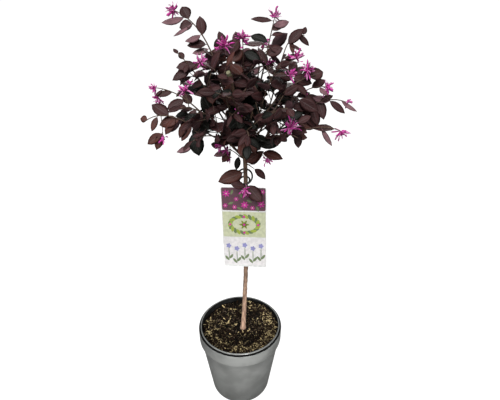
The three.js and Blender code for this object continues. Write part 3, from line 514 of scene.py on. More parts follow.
def add_piece(name, shape, materials, replaces=(), slots=None, uv=None, sharp=None):
    """Puts a mesh in the scene as a piece that rides on the part. slots gives each face's material, uv
    each corner's place as (faces, corners, 2), and sharp the angle past which an edge is crisp."""
    points, faces = shape
    present = faces >= 0
    mesh = bpy.data.meshes.new(name)
    mesh.vertices.add(len(points))
    mesh.vertices.foreach_set("co", points.astype(np.float32).ravel())
    mesh.loops.add(int(present.sum()))
    mesh.loops.foreach_set("vertex_index", faces[present].astype(np.int32))
    mesh.polygons.add(len(faces))
    sizes = present.sum(1)
    mesh.polygons.foreach_set("loop_start", (np.cumsum(sizes) - sizes).astype(np.int32))
    mesh.update(calc_edges=True)
    if uv is not None:
        layer = mesh.uv_layers.new(name="blade")
        layer.data.foreach_set("uv", uv[present].astype(np.float32).ravel())
    for material in materials:
        mesh.materials.append(material)
    if slots is not None:
        mesh.polygons.foreach_set("material_index", slots.astype(np.int32))
    mesh.polygons.foreach_set("use_smooth", np.ones(len(faces), bool))
    if sharp is not None:
        mesh.set_sharp_from_angle(angle=sharp)
    if mesh.validate():
        raise RuntimeError(name + " has faces that don't hold together")
    piece = bpy.data.objects.new(name, mesh)
    bpy.context.collection.objects.link(piece)
    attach(piece, BODY)
    if replaces:
        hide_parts(*replaces)
    return piece


# Materials

def node_group(name, inputs, outputs):
    """A new shader node group with named sockets, and its nodes, links and two ends."""
    group = bpy.data.node_groups.new(name, "ShaderNodeTree")
    for kind, socket_name, default in inputs:
        socket = group.interface.new_socket(socket_name, in_out="INPUT", socket_type="NodeSocket" + kind)
        socket.default_value = default
    for kind, socket_name in outputs:
        group.interface.new_socket(socket_name, in_out="OUTPUT", socket_type="NodeSocket" + kind)
    start = group.nodes.new("NodeGroupInput")
    end = group.nodes.new("NodeGroupOutput")
    return group, start, end


def mix_colours(tree, factor, first, second):
    """A node that goes from the first colour to the second, and its colour."""
    mix = tree.nodes.new("ShaderNodeMix")
    mix.data_type = "RGBA"
    tree.links.new(factor, mix.inputs["Factor"])
    tree.links.new(first, mix.inputs["A"])
    tree.links.new(second, mix.inputs["B"])
    return mix.outputs["Result"]


def sums(tree, operation, first, second=None, third=None):
    """A Math node of sockets and numbers, and its value."""
    node = tree.nodes.new("ShaderNodeMath")
    node.operation = operation
    for socket, value in zip(node.inputs, (first, second, third)):
        if isinstance(value, (int, float)):
            socket.default_value = value
        elif value is not None:
            tree.links.new(value, socket)
    return node.outputs[0]


def between(tree, value, low, high):
    """A Map Range node that goes smoothly from 0 at low to 1 at high, and its value."""
    node = tree.nodes.new("ShaderNodeMapRange")
    node.interpolation_type = "SMOOTHSTEP"
    node.inputs["From Min"].default_value = low
    node.inputs["From Max"].default_value = high
    tree.links.new(value, node.inputs["Value"])
    return node.outputs["Result"]


def placed(tree, group, **values):
    """A group's node in a tree, with values for its inputs."""
    node = tree.nodes.new("ShaderNodeGroup")
    node.node_tree = group
    for name, value in values.items():
        node.inputs[name].default_value = value
    return node


PATCH_EDGES = (0.36, 0.64)


@functools.cache
def mottle_group():
    """Two tones in soft patches: a noise on Object coordinates, stretched along Z, sharpened by a
    smooth step, mixes Colour into Shade. Height is the noise itself."""
    group, start, end = node_group(
        "Mottle",
        [("Color", "Colour", (0.5, 0.5, 0.5, 1)), ("Color", "Shade", (0.2, 0.2, 0.2, 1)),
         ("Float", "Scale", 100.0), ("Vector", "Stretch", (1, 1, 1)), ("Float", "Detail", 4.0)],
        [("Color", "Colour"), ("Float", "Height")])
    place = group.nodes.new("ShaderNodeTexCoord")
    squeeze = group.nodes.new("ShaderNodeVectorMath")
    squeeze.operation = "MULTIPLY"
    noise = group.nodes.new("ShaderNodeTexNoise")
    group.links.new(place.outputs["Object"], squeeze.inputs[0])
    group.links.new(start.outputs["Stretch"], squeeze.inputs[1])
    group.links.new(squeeze.outputs["Vector"], noise.inputs["Vector"])
    for name in ("Scale", "Detail"):
        group.links.new(start.outputs[name], noise.inputs[name])
    patches = between(group, noise.outputs["Fac"], *PATCH_EDGES)
    colour = mix_colours(group, patches, start.outputs["Shade"], start.outputs["Colour"])
    group.links.new(colour, end.inputs["Colour"])
    group.links.new(noise.outputs["Fac"], end.inputs["Height"])
    return group


SIDE_VEINS, VEIN_START = 7.0, 3.0
VEIN_SLANT = 2.6
VEIN_EDGES = (0.36, 0.5)
RIB_EDGES = (0.12, 0.02)


@functools.cache
def vein_group():
    """A leaf's veins on its own map, u along and v across: a midrib where v is in the middle, and side
    veins where the fraction of 7u - 2.6|v|, plus a whole number that keeps it above zero, is near 0 or
    1. The side veins fade towards the edge."""
    group, start, end = node_group(
        "Veins",
        [("Color", "Blade", (0.1, 0.1, 0.1, 1)), ("Color", "Vein", (0.3, 0.3, 0.3, 1)),
         ("Float", "Strength", 0.5)],
        [("Color", "Colour"), ("Float", "Height")])
    uv = group.nodes.new("ShaderNodeUVMap")
    uv.uv_map = "blade"
    parts = group.nodes.new("ShaderNodeSeparateXYZ")
    group.links.new(uv.outputs["UV"], parts.inputs[0])
    away = sums(group, "ABSOLUTE", sums(group, "MULTIPLY_ADD", parts.outputs["Y"], 2.0, -1.0))
    run = sums(group, "MULTIPLY_ADD", parts.outputs["X"], SIDE_VEINS, VEIN_START)
    wave = sums(group, "FRACT", sums(group, "MULTIPLY_ADD", away, -VEIN_SLANT, run))
    side = sums(group, "ABSOLUTE", sums(group, "SUBTRACT", wave, 0.5))
    line = between(group, side, *VEIN_EDGES)
    fading = sums(group, "MULTIPLY", line, sums(group, "SUBTRACT", 1.0, away))
    veins = sums(group, "MAXIMUM", between(group, away, *RIB_EDGES), fading)
    tint = sums(group, "MULTIPLY", veins, start.outputs["Strength"])
    colour = mix_colours(group, tint, start.outputs["Blade"], start.outputs["Vein"])
    group.links.new(colour, end.inputs["Colour"])
    group.links.new(veins, end.inputs["Height"])
    return group


def new_material(name, roughness, specular=0.5):
    """A material with a Principled shader, and that shader."""
    material = bpy.data.materials.new(name)
    material.use_nodes = True
    shader = material.node_tree.nodes["Principled BSDF"]
    shader.inputs["Roughness"].default_value = roughness
    shader.inputs["Specular IOR Level"].default_value = specular
    return material, shader


def with_bump(material, shader, height, distance, strength=1.0):
    """Raises the surface by a height that varies over it."""
    bump = material.node_tree.nodes.new("ShaderNodeBump")
    bump.inputs["Distance"].default_value = distance
    bump.inputs["Strength"].default_value = strength
    material.node_tree.links.new(height, bump.inputs["Height"])
    material.node_tree.links.new(bump.outputs["Normal"], shader.inputs["Normal"])


def mottled(name, colour, shade, scale, roughness, relief, stretch=(1, 1, 1), detail=4.0, specular=0.5):
    """A finish in two tones with a relief to match."""
    material, shader = new_material(name, roughness, specular)
    tree = material.node_tree
    mottle = placed(tree, mottle_group(), Colour=(*colour, 1), Shade=(*shade, 1), Scale=scale,
                    Stretch=stretch, Detail=detail)
    tree.links.new(mottle.outputs["Colour"], shader.inputs["Base Color"])
    with_bump(material, shader, mottle.outputs["Height"], relief)
    return material


BLADE_TONES, BLADE_PATCHES = (1.25, 0.8), 60.0


def leafy(name, colour, vein, strength, roughness, specular=0.5):
    """A leaf's finish: its blade in two near tones by patches, with veins on the leaf's own map."""
    material, shader = new_material(name, roughness, specular)
    tree = material.node_tree
    mottle = placed(tree, mottle_group(), Colour=(*scaled(colour, BLADE_TONES[0]), 1),
                    Shade=(*scaled(colour, BLADE_TONES[1]), 1), Scale=BLADE_PATCHES)
    veins = placed(tree, vein_group(), Vein=(*vein, 1), Strength=strength)
    tree.links.new(mottle.outputs["Colour"], veins.inputs["Blade"])
    tree.links.new(veins.outputs["Colour"], shader.inputs["Base Color"])
    with_bump(material, shader, veins.outputs["Height"], distance=0.0004, strength=0.6)
    return material


def lighter(colour, share):
    """A colour some way to white."""
    return tuple(c + (1 - c) * share for c in colour)


def scaled(colour, share):
    """A colour with each of its channels times a share."""
    return tuple(c * share for c in colour)


# The stem and the sprays' stems

def stem_at(height):
    """The stem's centre at heights: a straight lean, bowed to one side by half a sine wave."""
    share = ((np.asarray(height, float) - STEM_FOOT[2]) / (STEM_TOP[2] - STEM_FOOT[2]))[..., None]
    return STEM_FOOT + (STEM_TOP - STEM_FOOT) * share + STEM_BOW * np.sin(share * math.pi)


def stem_radius_at(height):
    """The stem's radius at heights: an even taper and a root flare that dies away upwards."""
    stem = bpy.context.scene.plant_stem
    up = height - STEM_FOOT[2]
    share = up / (STEM_TOP[2] - STEM_FOOT[2])
    taper = stem.foot_radius + (stem.top_radius - stem.foot_radius) * share
    return taper + stem.flare * np.exp(-up / stem.flare_height)


def limb_curve(start, tip, azimuth, rises, pitch):
    """A limb's centreline in points even by length: a cubic curve that leaves at one slope, arches, and
    arrives at another."""
    span = np.linalg.norm(tip - start)
    leaving = polar(azimuth, rises, span * LEAVING_SHARE, start)
    arriving = polar(azimuth, pitch, -span * ARRIVING_SHARE, tip)
    t = np.linspace(0, 1, CURVE_POINTS)[:, None]
    curve = (1 - t)**3 * start + 3 * (1 - t)**2 * t * leaving + 3 * (1 - t) * t**2 * arriving + t**3 * tip
    return resampled(curve, np.linspace(0, 1, EVEN_POINTS))


def resampled(line, shares):
    """Points at shares of a line's length."""
    steps = np.linalg.norm(np.diff(line, axis=0), axis=1)
    run = np.concatenate([[0], np.cumsum(steps)]) / steps.sum()
    return np.stack([np.interp(shares, run, line[:, k]) for k in range(3)], -1)


def length_of(line):
    """The length of a line of points."""
    return np.linalg.norm(np.diff(line, axis=0), axis=1).sum()


def spray_tip(azimuth, elevation, reach):
    """A spray's tip, short of its reach."""
    return polar(azimuth, elevation, reach - TIP_ROOM, CROWN_HEART)


def limb_points(line, first=0, last=1):
    """A limb's points between two shares of its line's length."""
    return resampled(line, np.linspace(first, last, LIMB_POINTS))


@functools.cache
def limbs():
    """The boughs, each as a line of points, and the masses of foliage, each with its stem as a line."""
    boughs, masses = {}, []

    def add_mass(name, axis, reach, foot, branches=True):
        masses.append({"name": name, "axis": axis, "reach": reach, "foot": foot, "branches": branches,
                       "length": length_of(axis), "seed": FIRST_SEED + len(masses) * SEED_STEP})

    for name, (height, rises, lead, *others) in BOUGHS.items():
        curve = limb_curve(stem_at(height), spray_tip(*lead[:3]), lead[0], rises, lead[3])
        boughs[name] = limb_points(curve, 0, BOUGH_SHARE)
        add_mass(name, limb_points(curve, BOUGH_SHARE - MASS_OVERLAP), lead[2], LEADER_RADIUS)
        fork = resampled(curve, np.array([BOUGH_SHARE * FORK_SHARE]))[0]
        for spray, (label, slope) in zip(others, FORK_KINDS):
            line = limb_curve(fork, spray_tip(*spray[:3]), spray[0], rises * slope, spray[3])
            add_mass(name + label, limb_points(line), spray[2], FORK_RADIUS)
    for name, (height, azimuth, elevation, reach, pitch) in SHOOTS.items():
        start = stem_at(height)
        line = limb_curve(start, polar(azimuth, elevation, reach, start), azimuth, SHOOT_RISE, pitch)
        add_mass(name, limb_points(line), reach, SHOOT_RADIUS, False)
    height, rises, (azimuth, elevation, reach, pitch) = CUT_BOUGH
    tip = polar(azimuth, elevation, reach, CROWN_HEART)
    boughs["cut"] = limb_points(limb_curve(stem_at(height), tip, azimuth, rises, pitch))
    return boughs, masses


# The growing rule. A pair of values for a draw is the least and what the draw may add.

FRONT_LIGHT = np.array([0.0, -0.8, 0.6])
LEAF_SPREAD, TIP_SPREAD = (0.75, 0.5), 0.15
LEAF_SAG = (0.1, 0.5)
SIDE_LIGHT, TOP_LIGHT, HEART_RADIUS = 0.8, 0.42, 0.03
LIGHT_SCATTER, SHOWN_SCATTER = 1.7, 0.6
FRONT_SHARE, FRONT_EDGES = 0.5, (0.0, 0.06)
LEAF_LENGTHS, LEAF_WIDTHS, PALE_SHARE = (0.8, 0.35), (0.86, 0.28), 0.25
LEAF_CURLS, SHOWN_CURLS = (0.04, 0.12), (0.02, 0.08)
WIDEST = 0.46


def drawn(pair, rand):
    """A draw between a least value and that plus what may be added."""
    return pair[0] + pair[1] * rand()


def scatter(share, rand):
    """A small random vector."""
    return (np.array([rand(), rand(), rand()]) - 0.5) * share


def on_leaf(leaf, u, v):
    """A point of a leaf: u along it and v across it, as shares of its length and width."""
    return (leaf["root"] + leaf["along"] * (u * leaf["length"])
            + leaf["across"] * (v * leaf["length"] * leaf["width"])
            - leaf["face"] * (leaf["curl"] * leaf["length"] * u * u))


def leaf_at(root, heading, side, size, rand):
    """Where a leaf stands. It points forward along its twig and out to one side (side 0 is the twig's
    own tip), sags a little, and turns its face to the light: up and away from the crown's heart."""
    sideways = unit(np.cross(heading, UP))
    spread = drawn(LEAF_SPREAD, rand) if side else TIP_SPREAD
    along = unit(heading * math.cos(spread) + sideways * ((side or 1) * math.sin(spread))
                 - UP * drawn(LEAF_SAG, rand))
    outward = (root - CROWN_HEART) * [1, 1, 0]
    light = outward / (np.linalg.norm(outward) + HEART_RADIUS) * SIDE_LIGHT + UP * TOP_LIGHT
    light = light + FRONT_LIGHT * (FRONT_SHARE * (1 - smoothstep(root[1], *FRONT_EDGES)))
    light = light + scatter(LIGHT_SCATTER, rand)
    across = unit(np.cross(light, along))
    return {"root": root, "along": along, "across": across, "face": np.cross(along, across),
            "length": size * drawn(LEAF_LENGTHS, rand), "curl": drawn(LEAF_CURLS, rand),
            "pale": rand() < PALE_SHARE,
            "width": bpy.context.scene.plant_foliage.leaf_width * drawn(LEAF_WIDTHS, rand)}


def shown_leaf(root, rand, azimuth, elevation, length, width, tint="plum"):
    """A leaf that points a given way and shows its face to the front, or its underside if turned."""
    along = polar(azimuth, elevation, 1)
    light = FRONT_LIGHT + scatter(SHOWN_SCATTER, rand)
    across = unit(np.cross(light, along)) * (-1 if tint == "turned" else 1)
    return {"root": root, "along": along, "across": across, "face": np.cross(along, across),
            "length": length, "curl": drawn(SHOWN_CURLS, rand), "width": width,
            "pale": tint == "turned", "tint": "plum" if tint == "turned" else tint}


def outline_of(leaf):
    """The four corners of a leaf's outline."""
    return np.array([on_leaf(leaf, u, v) for u, v in ((0, 0), (WIDEST, 0.5), (1, 0), (WIDEST, -0.5))])


EDGES = np.array([[0, 1], [1, 2], [2, 3], [3, 0], [0, 2]])
HALVES = np.array([[0, 1, 2], [0, 2, 3]])
LINE_FOOT = 0.02
TINY = 1e-15


def crossings(starts, ends, triangles):
    """True if any of the straight lines passes through any of the triangles: the line's point on the
    triangle's plane lies between its ends and inside the three sides. A line may touch at its foot."""
    a, b, c = triangles[:, 0], triangles[:, 1], triangles[:, 2]
    way = (ends - starts)[:, None]
    first, second = (b - a)[None], (c - a)[None]
    square = np.cross(way, second)
    scale = (square * first).sum(-1)
    scale = np.where(np.abs(scale) < TINY, TINY, scale)
    offset = starts[:, None] - a[None]
    u = (offset * square).sum(-1) / scale
    other = np.cross(offset, first)
    v = (way * other).sum(-1) / scale
    t = (second * other).sum(-1) / scale
    return bool(((u > 0) & (v > 0) & (u + v < 1) & (t > LINE_FOOT) & (t < 1)).any())


# How near one leaf's middle may be to another's, and how near things are tested for touching. No leaf
# stands before the pruned bough's end or a blossom: their openings have a depth and a radius.
LEAF_ROOM, NEAR_LEAF, NEAR_TWIG = 0.006, 0.045, 0.06
CUT_OPENING, CUT_SHOWN = (0.060, 0.010), 9
BLOSSOM_DEPTH, BLOSSOM_ROOM = 0.022, (0.005, 0.009)


class Crown:
    """What has grown so far: leaves, twigs and blossoms, with the tests that keep them apart."""

    def __init__(self):
        self.leaves, self.twigs, self.blossoms = [], [], []
        cut = limbs()[0]["cut"]
        self.openings = [(place, CUT_BOUGH_SIGHT, *CUT_OPENING) for place in (cut[-1], cut[-CUT_SHOWN])]
        self.outlines = np.zeros((0, 4, 3))
        self.middles = np.zeros((0, 3))
        self.ways = np.zeros((0, 2, 3))

    def fits(self, leaf, twig):
        """True if a leaf passes through no leaf, twig or blossom. twig is the one that bears it."""
        outline = outline_of(leaf)
        middle = on_leaf(leaf, 0.5, 0)
        gaps = np.linalg.norm(self.middles - middle, axis=1)
        if (gaps < LEAF_ROOM).any():
            return False
        near = self.outlines[gaps < NEAR_LEAF]
        if len(near):
            triangles = near[:, HALVES].reshape(-1, 3, 3)
            if crossings(outline[EDGES[:, 0]], outline[EDGES[:, 1]], triangles):
                return False
            edges = near[:, EDGES].reshape(-1, 2, 3)
            if crossings(edges[:, 0], edges[:, 1], outline[HALVES]):
                return False
        ways = self.ways[(np.linalg.norm(self.ways.mean(1) - middle, axis=1) < NEAR_TWIG)]
        own = {tuple(np.round(p, 6)) for p in twig}
        others = [way for way in ways if tuple(np.round(way[0], 6)) not in own]
        others = np.array(others).reshape(-1, 2, 3)
        if len(others) and crossings(others[:, 0], others[:, 1], outline[HALVES]):
            return False
        return not any(self.hides(middle, *opening) for opening in self.openings)

    @staticmethod
    def hides(middle, start, heading, depth, radius):
        """True if a leaf's middle is nearer than a radius to the opening's line from its start."""
        ahead = np.clip((middle - start) @ heading, 0, depth)
        return np.linalg.norm(middle - start - heading * ahead) < radius

    def add_blossom(self, tip, heading, size):
        """Puts up a blossom, and keeps leaves out of the room before it."""
        self.blossoms.append((tip, heading, size))
        self.openings.append((tip, heading, BLOSSOM_DEPTH, BLOSSOM_ROOM[0] + BLOSSOM_ROOM[1] * size))

    def add_leaf(self, leaf):
        """Puts up a leaf."""
        self.leaves.append(leaf)
        self.outlines = np.concatenate([self.outlines, outline_of(leaf)[None]])
        self.middles = np.concatenate([self.middles, on_leaf(leaf, 0.5, 0)[None]])

    def drop_leaves(self, count):
        """Takes off all leaves but the first so many."""
        del self.leaves[count:]
        self.outlines, self.middles = self.outlines[:count], self.middles[:count]

    def add_twig(self, line, foot, tip):
        """Puts up a twig with its radius at its foot and tip."""
        self.twigs.append((line, foot, tip))
        self.ways = np.concatenate([self.ways, np.stack([line[:-1], line[1:]], 1)])


# The crown's underside hangs lower round the stem, and less so to the right. The card hangs under it.
CROWN_FLOOR = 0.594
FLOOR_DROP, FLOOR_DROP_EDGES = 0.042, (0.012, 0.085)
FLOOR_LIFT, FLOOR_LIFT_EDGES = 0.016, (0.035, 0.085)
REACH_ROOM = 0.008
STEM_ROOM, STEM_TOP_ROOM = 0.0065, 0.004
CARD_ROOM_TOP, CARD_ROOM_FRONT = 0.513, -0.0165


def in_crown(points, mass):
    """True if all the points are no further out than the mass's reach, and not under the crown."""
    if not mass["branches"]:
        return True
    away = np.hypot(points[:, 0] - CROWN_HEART[0], points[:, 1] - CROWN_HEART[1])
    floor = (CROWN_FLOOR - FLOOR_DROP * (1 - smoothstep(away, *FLOOR_DROP_EDGES))
             + FLOOR_LIFT * smoothstep(points[:, 0], *FLOOR_LIFT_EDGES))
    far = np.linalg.norm(points - CROWN_HEART, axis=1)
    inside = (points[:, 2] > floor) & (points[:, 2] < CROWN_TOP) & (far < mass["reach"] + REACH_ROOM)
    return bool(inside.all())


def clear_of_stem(points):
    """True if all the points stand clear of the stem and of the hanging card."""
    centre = stem_at(points[:, 2])
    away = np.hypot(points[:, 0] - centre[:, 0], points[:, 1] - centre[:, 1])
    stem = (points[:, 2] < STEM_TOP[2] + STEM_TOP_ROOM) & (away < STEM_ROOM)
    card = (points[:, 2] < CARD_ROOM_TOP) & (points[:, 1] > CARD_ROOM_FRONT)
    return not (stem | card).any()


def clear_of_gaps(points):
    """True if all the points stand clear of the camera's lines through the gaps that show sky."""
    gaps = np.array(SKY_GAPS)
    passing = np.column_stack([gaps[:, 0], np.zeros(len(gaps)), gaps[:, 1]])
    sight = unit(passing - CAMERA_PLACE)
    to_points = points[:, None] - passing
    past = to_points - (to_points * sight).sum(-1, keepdims=True) * sight
    return bool((np.linalg.norm(past, axis=-1) > gaps[:, 2]).all())


OLD_AND_YOUNG = (0.060, 0.170)
SMALL_EDGES = (0.02, 0.09)


def leaf_size_at(point):
    """How long a leaf is: the ones nearest the crown's heart are the oldest and largest, and the ones at
    its front are small."""
    foliage = bpy.context.scene.plant_foliage
    share = smoothstep(np.linalg.norm(point - CROWN_HEART), *OLD_AND_YOUNG)
    size = foliage.leaf_length + (foliage.young_length - foliage.leaf_length) * share
    return size * (1 - foliage.front_loss * smoothstep(-point[1], *SMALL_EDGES))


# Where each tint lies: distances from the crown's heart, heights, depths from front to back and places
# from left to right between which one part of the crown goes over into another
INSIDE_EDGES = (0.080, 0.150)
LOW_FRONT_HEIGHTS, LOW_FRONT_DEPTHS = (0.590, 0.650), (-0.060, 0.0)
LOW_RIGHT_HEIGHTS, LOW_RIGHT_PLACES = (0.610, 0.650), (0.020, 0.070)
BACK_DEPTHS = (0.0, 0.08)
RUSSET_SHARE, RUSSET_LOW_SHARE = 0.12, 0.45
# Shares of the near-black tint, which paints shade over older leaves inside the crown and at its back
NIGHT_SHARE, NIGHT_BACK_SHARE, NIGHT_LOW_LOSS = 0.95, 0.12, 0.6


def tint_at(point, rand):
    """The kind of leaf that a twig bears: near-black inside the crown and low at its back, where older
    leaves are darkened as painted shade, russet at its lower front and now and then elsewhere, and plum
    for the rest."""
    x, y, z = point
    inner = 1 - smoothstep(np.linalg.norm(point - CROWN_HEART), *INSIDE_EDGES)
    low_front = (1 - smoothstep(z, *LOW_FRONT_HEIGHTS)) * (1 - smoothstep(y, *LOW_FRONT_DEPTHS))
    low_right = (1 - smoothstep(z, *LOW_RIGHT_HEIGHTS)) * smoothstep(x, *LOW_RIGHT_PLACES)
    if rand() < RUSSET_SHARE + RUSSET_LOW_SHARE * low_front * (1 - inner):
        return "russet"
    dark = NIGHT_SHARE * inner + NIGHT_BACK_SHARE * smoothstep(y, *BACK_DEPTHS)
    if rand() < dark * (1 - NIGHT_LOW_LOSS * low_right):
        return "night"
    return "plum"


REACH_SPOTS = np.array([[0.3, 0.3], [0.3, -0.3], [0.6, 0.45], [0.6, -0.45], [0.9, 0.1], [1.0, 0.0]])
LEAF_TRIES, LEAF_SHRINK = 8, 0.05
LAST_ROOT, LEAF_LOOK = 0.985, 0.06


def bear_leaves(crown, mass, line, first, last, rand, tip_leaf=True):
    """Leaves by turns left and right along a line, and one at its tip. What leaves the crown, or would
    touch a leaf, twig or blossom, is tried again a little smaller and turned, then skipped."""
    spacing = bpy.context.scene.plant_foliage.leaf_spacing
    count = max(1, round(length_of(line) * (last - first) / spacing))
    tint = tint_at(line[-1], rand)
    for m in range(count):
        share = first + (last - first) * (m + 1) / count
        shares = np.array([min(share, LAST_ROOT), share - LEAF_LOOK, min(share + LEAF_LOOK, 1.0)])
        root, behind, ahead = resampled(line, shares)
        heading = unit(ahead - behind)
        for attempt in range(LEAF_TRIES):
            side = 0 if m == count - 1 and tip_leaf else (1 if (m + attempt) % 2 else -1)
            leaf = leaf_at(root, heading, side, leaf_size_at(root) * (1 - LEAF_SHRINK * attempt), rand)
            reach = np.array([on_leaf(leaf, u, v) for u, v in REACH_SPOTS])
            allowed = in_crown(reach, mass) and clear_of_stem(reach) and clear_of_gaps(reach)
            if allowed and crown.fits(leaf, line):
                leaf["tint"] = tint
                crown.add_leaf(leaf)
                break


TWIG_POINTS = 5
TWIG_BOW = 0.3
STEM_TIP_RADIUS, TWIG_TIP_RADIUS = 0.0007, 0.0005


def bent(root, direction, reach, sag):
    """A twig's line: straight but for a bend that grows with the square of the way along."""
    t = np.linspace(0, 1, TWIG_POINTS)[:, None]
    return root + direction * (reach * t) + UP * (sag * reach * t * t)


def bowed(root, tip):
    """A short twig's line to a given tip: straight but for a rise that is greatest half-way."""
    t = np.linspace(0, 1, TWIG_POINTS)[:, None]
    return root + (tip - root) * t + UP * (TWIG_BOW * np.linalg.norm(tip - root) * t * (1 - t))


def lay_out(crown, mass):
    """Puts up a mass's stem with the blossom at its tip, and the twigs, blossoms and leaves that show
    singly. Its twigs leave the stem at the stem's nearest place to their tips."""
    foliage = bpy.context.scene.plant_foliage
    rand = seeded(mass["seed"] + 1)
    axis, name = mass["axis"], mass["name"]
    crown.add_twig(axis, mass["foot"], STEM_TIP_RADIUS)
    if name in BLOOMING:
        crown.add_blossom(axis[-1], unit(axis[-1] - axis[-3]), BLOOMING[name])
    lines = [(axis, SHOWN_LEAVES.get(name, ()))]
    for azimuth, elevation, reach, size, leaves in SHOWN_TWIGS.get(name, ()):
        tip = polar(azimuth, elevation, reach, CROWN_HEART)
        root = axis[np.argmin(np.linalg.norm(axis[:-3] - tip, axis=1))]
        line = bowed(root, tip)
        crown.add_twig(line, foliage.twig_radius, TWIG_TIP_RADIUS)
        if size:
            crown.add_blossom(tip, unit(unit(tip - root) + unit(tip - CROWN_HEART)), size)
        lines.append((line, leaves))
    for line, leaves in lines:
        for share, *stance in leaves:
            crown.add_leaf(shown_leaf(resampled(line, np.array([share]))[0], rand, *stance))


# A stem's leaves and twigs, as shares of its length
FIRST_LEAF, FIRST_TWIG, LAST_TWIG, TWIG_END_ROOM = 0.04, 0.05, 0.92, 0.06
SHOWN_GAP, BLOSSOM_STALK = 0.03, 0.93
TWIG_TRIES, TWIG_SHRINK, TWIG_LOOK = 6, 0.08, 0.03
TWIG_TAPER, TWIG_LENGTHS = 0.5, (0.8, 0.4)
TURN_RETRY, TURN_SCATTER = 0.6, 0.8
TWIG_FORWARD, TWIG_OUTWARD, TWIG_SAG = 0.62, 0.78, 0.1
TWIG_LEAVES, TWIG_BLOSSOM_STALK = 0.1, 0.8
LEAST_LEAVES = 2
BLOOM_EVERY, BLOOM_DEPTH, BLOOM_SIZES = 6, 0.02, (0.7, 0.3)


def side_twig(axis, share, turn, reach, rand):
    """A twig's line that leaves a stem at a share of its length: forward, and out to the side that an
    angle about the stem gives."""
    foot, behind, ahead = resampled(axis, np.array([share, share - TWIG_LOOK, share + TWIG_LOOK]))
    forward = unit(ahead - behind)
    aside = unit(np.cross(forward, UP))
    outward = aside * math.cos(turn) + np.cross(forward, aside) * math.sin(turn)
    way = unit(forward * TWIG_FORWARD + outward * TWIG_OUTWARD)
    return bent(foot, way, reach, TWIG_SAG * rand())


def twig_fits(crown, mass, line):
    """True if a twig stays in the crown, clear of the stem, and passes through no leaf."""
    if not in_crown(line[2:], mass) or not clear_of_stem(line[2:]):
        return False
    near = crown.outlines[np.linalg.norm(crown.middles - line[2], axis=1) < NEAR_TWIG]
    return not len(near) or not crossings(line[:-1], line[1:], near[:, HALVES].reshape(-1, 3, 3))


def grow(crown, mass):
    """The growing rule. A mass's stem bears side twigs, each turned by the golden angle from the last,
    angled forward and shorter towards the tip. Stem and twigs bear leaves by turns left and right and
    one at the tip. A stem bears none past its first leaf that shows singly, or at a blossom. A twig
    with too few leaves is tried again, then left out."""
    foliage = bpy.context.scene.plant_foliage
    rand = seeded(mass["seed"])
    axis, name = mass["axis"], mass["name"]
    if not mass["branches"]:
        return
    if name in SHOWN_LEAVES:
        last = SHOWN_LEAVES[name][0][0] - SHOWN_GAP
    else:
        last = BLOSSOM_STALK if name in BLOOMING else 1.0
    bear_leaves(crown, mass, axis, FIRST_LEAF, last, rand, last == 1.0)
    twigs_end = min(last, LAST_TWIG)
    branchings = round(mass["length"] * twigs_end / foliage.twig_spacing)
    for k in range(branchings):
        share = FIRST_TWIG + (twigs_end - TWIG_END_ROOM) * k / branchings
        for attempt in range(TWIG_TRIES):
            reach = (foliage.twig_length * (1 - TWIG_TAPER * share) * drawn(TWIG_LENGTHS, rand)
                     * (1 - TWIG_SHRINK * attempt))
            turn = (k + attempt * TURN_RETRY) * GOLDEN_ANGLE + rand() * TURN_SCATTER
            line = side_twig(axis, share, turn, reach, rand)
            if not twig_fits(crown, mass, line):
                continue
            before = len(crown.leaves)
            blooms = line[-1, 1] > BLOOM_DEPTH and k % BLOOM_EVERY == mass["seed"] % BLOOM_EVERY
            last_leaf = TWIG_BLOSSOM_STALK if blooms else 1
            bear_leaves(crown, mass, line, TWIG_LEAVES, last_leaf, rand, not blooms)
            if len(crown.leaves) < before + LEAST_LEAVES:
                crown.drop_leaves(before)
                continue
            crown.add_twig(line, foliage.twig_radius, TWIG_TIP_RADIUS)
            if blooms:
                crown.add_blossom(line[-1], unit(line[-1] - line[-2]), drawn(BLOOM_SIZES, rand))
            break


@functools.cache
def grown():
    """The whole crown: what shows singly first, and then the rest, mass by mass."""
    crown = Crown()
    for mass in limbs()[1]:
        lay_out(crown, mass)
    for mass in limbs()[1]:
        grow(crown, mass)
    return crown


# Leaves and petals as arrays

# A leaf's grid: stations along it, columns across its upper side and back under it, and the side that
# each column is on. Here and for the petals, a pair is the least and the most of a draw.
LEAF_STATIONS = np.array([0.0, 0.09, 0.16, 0.30, 0.47, 0.65, 0.83, 1.0])
LEAF_COLUMNS = np.array([-1, -0.5, 0, 0.5, 1, 0.5, 0, -0.5])
LEAF_SIDES = np.array([0, 1, 1, 1, 0, -1, -1, -1])
STALK_SHARE, STALK_END = 0.1, 0.12
BLADE_SKEW, BLADE_FULLNESS = 0.88, 0.7
STALK_HALF, TIP_HALF = 0.00045, 0.0002
STALK_SKIN, BLADE_SKIN = 0.0005, 0.00018
FOLDS, TILTS, CURL_SCATTER = (0.02, 0.32), (-0.12, 0.12), (-0.06, 0.1)
WAVE_COUNTS, WAVE_STARTS, WAVE_HEIGHTS = (7, 13), (0, 6), (0.0, 0.09)


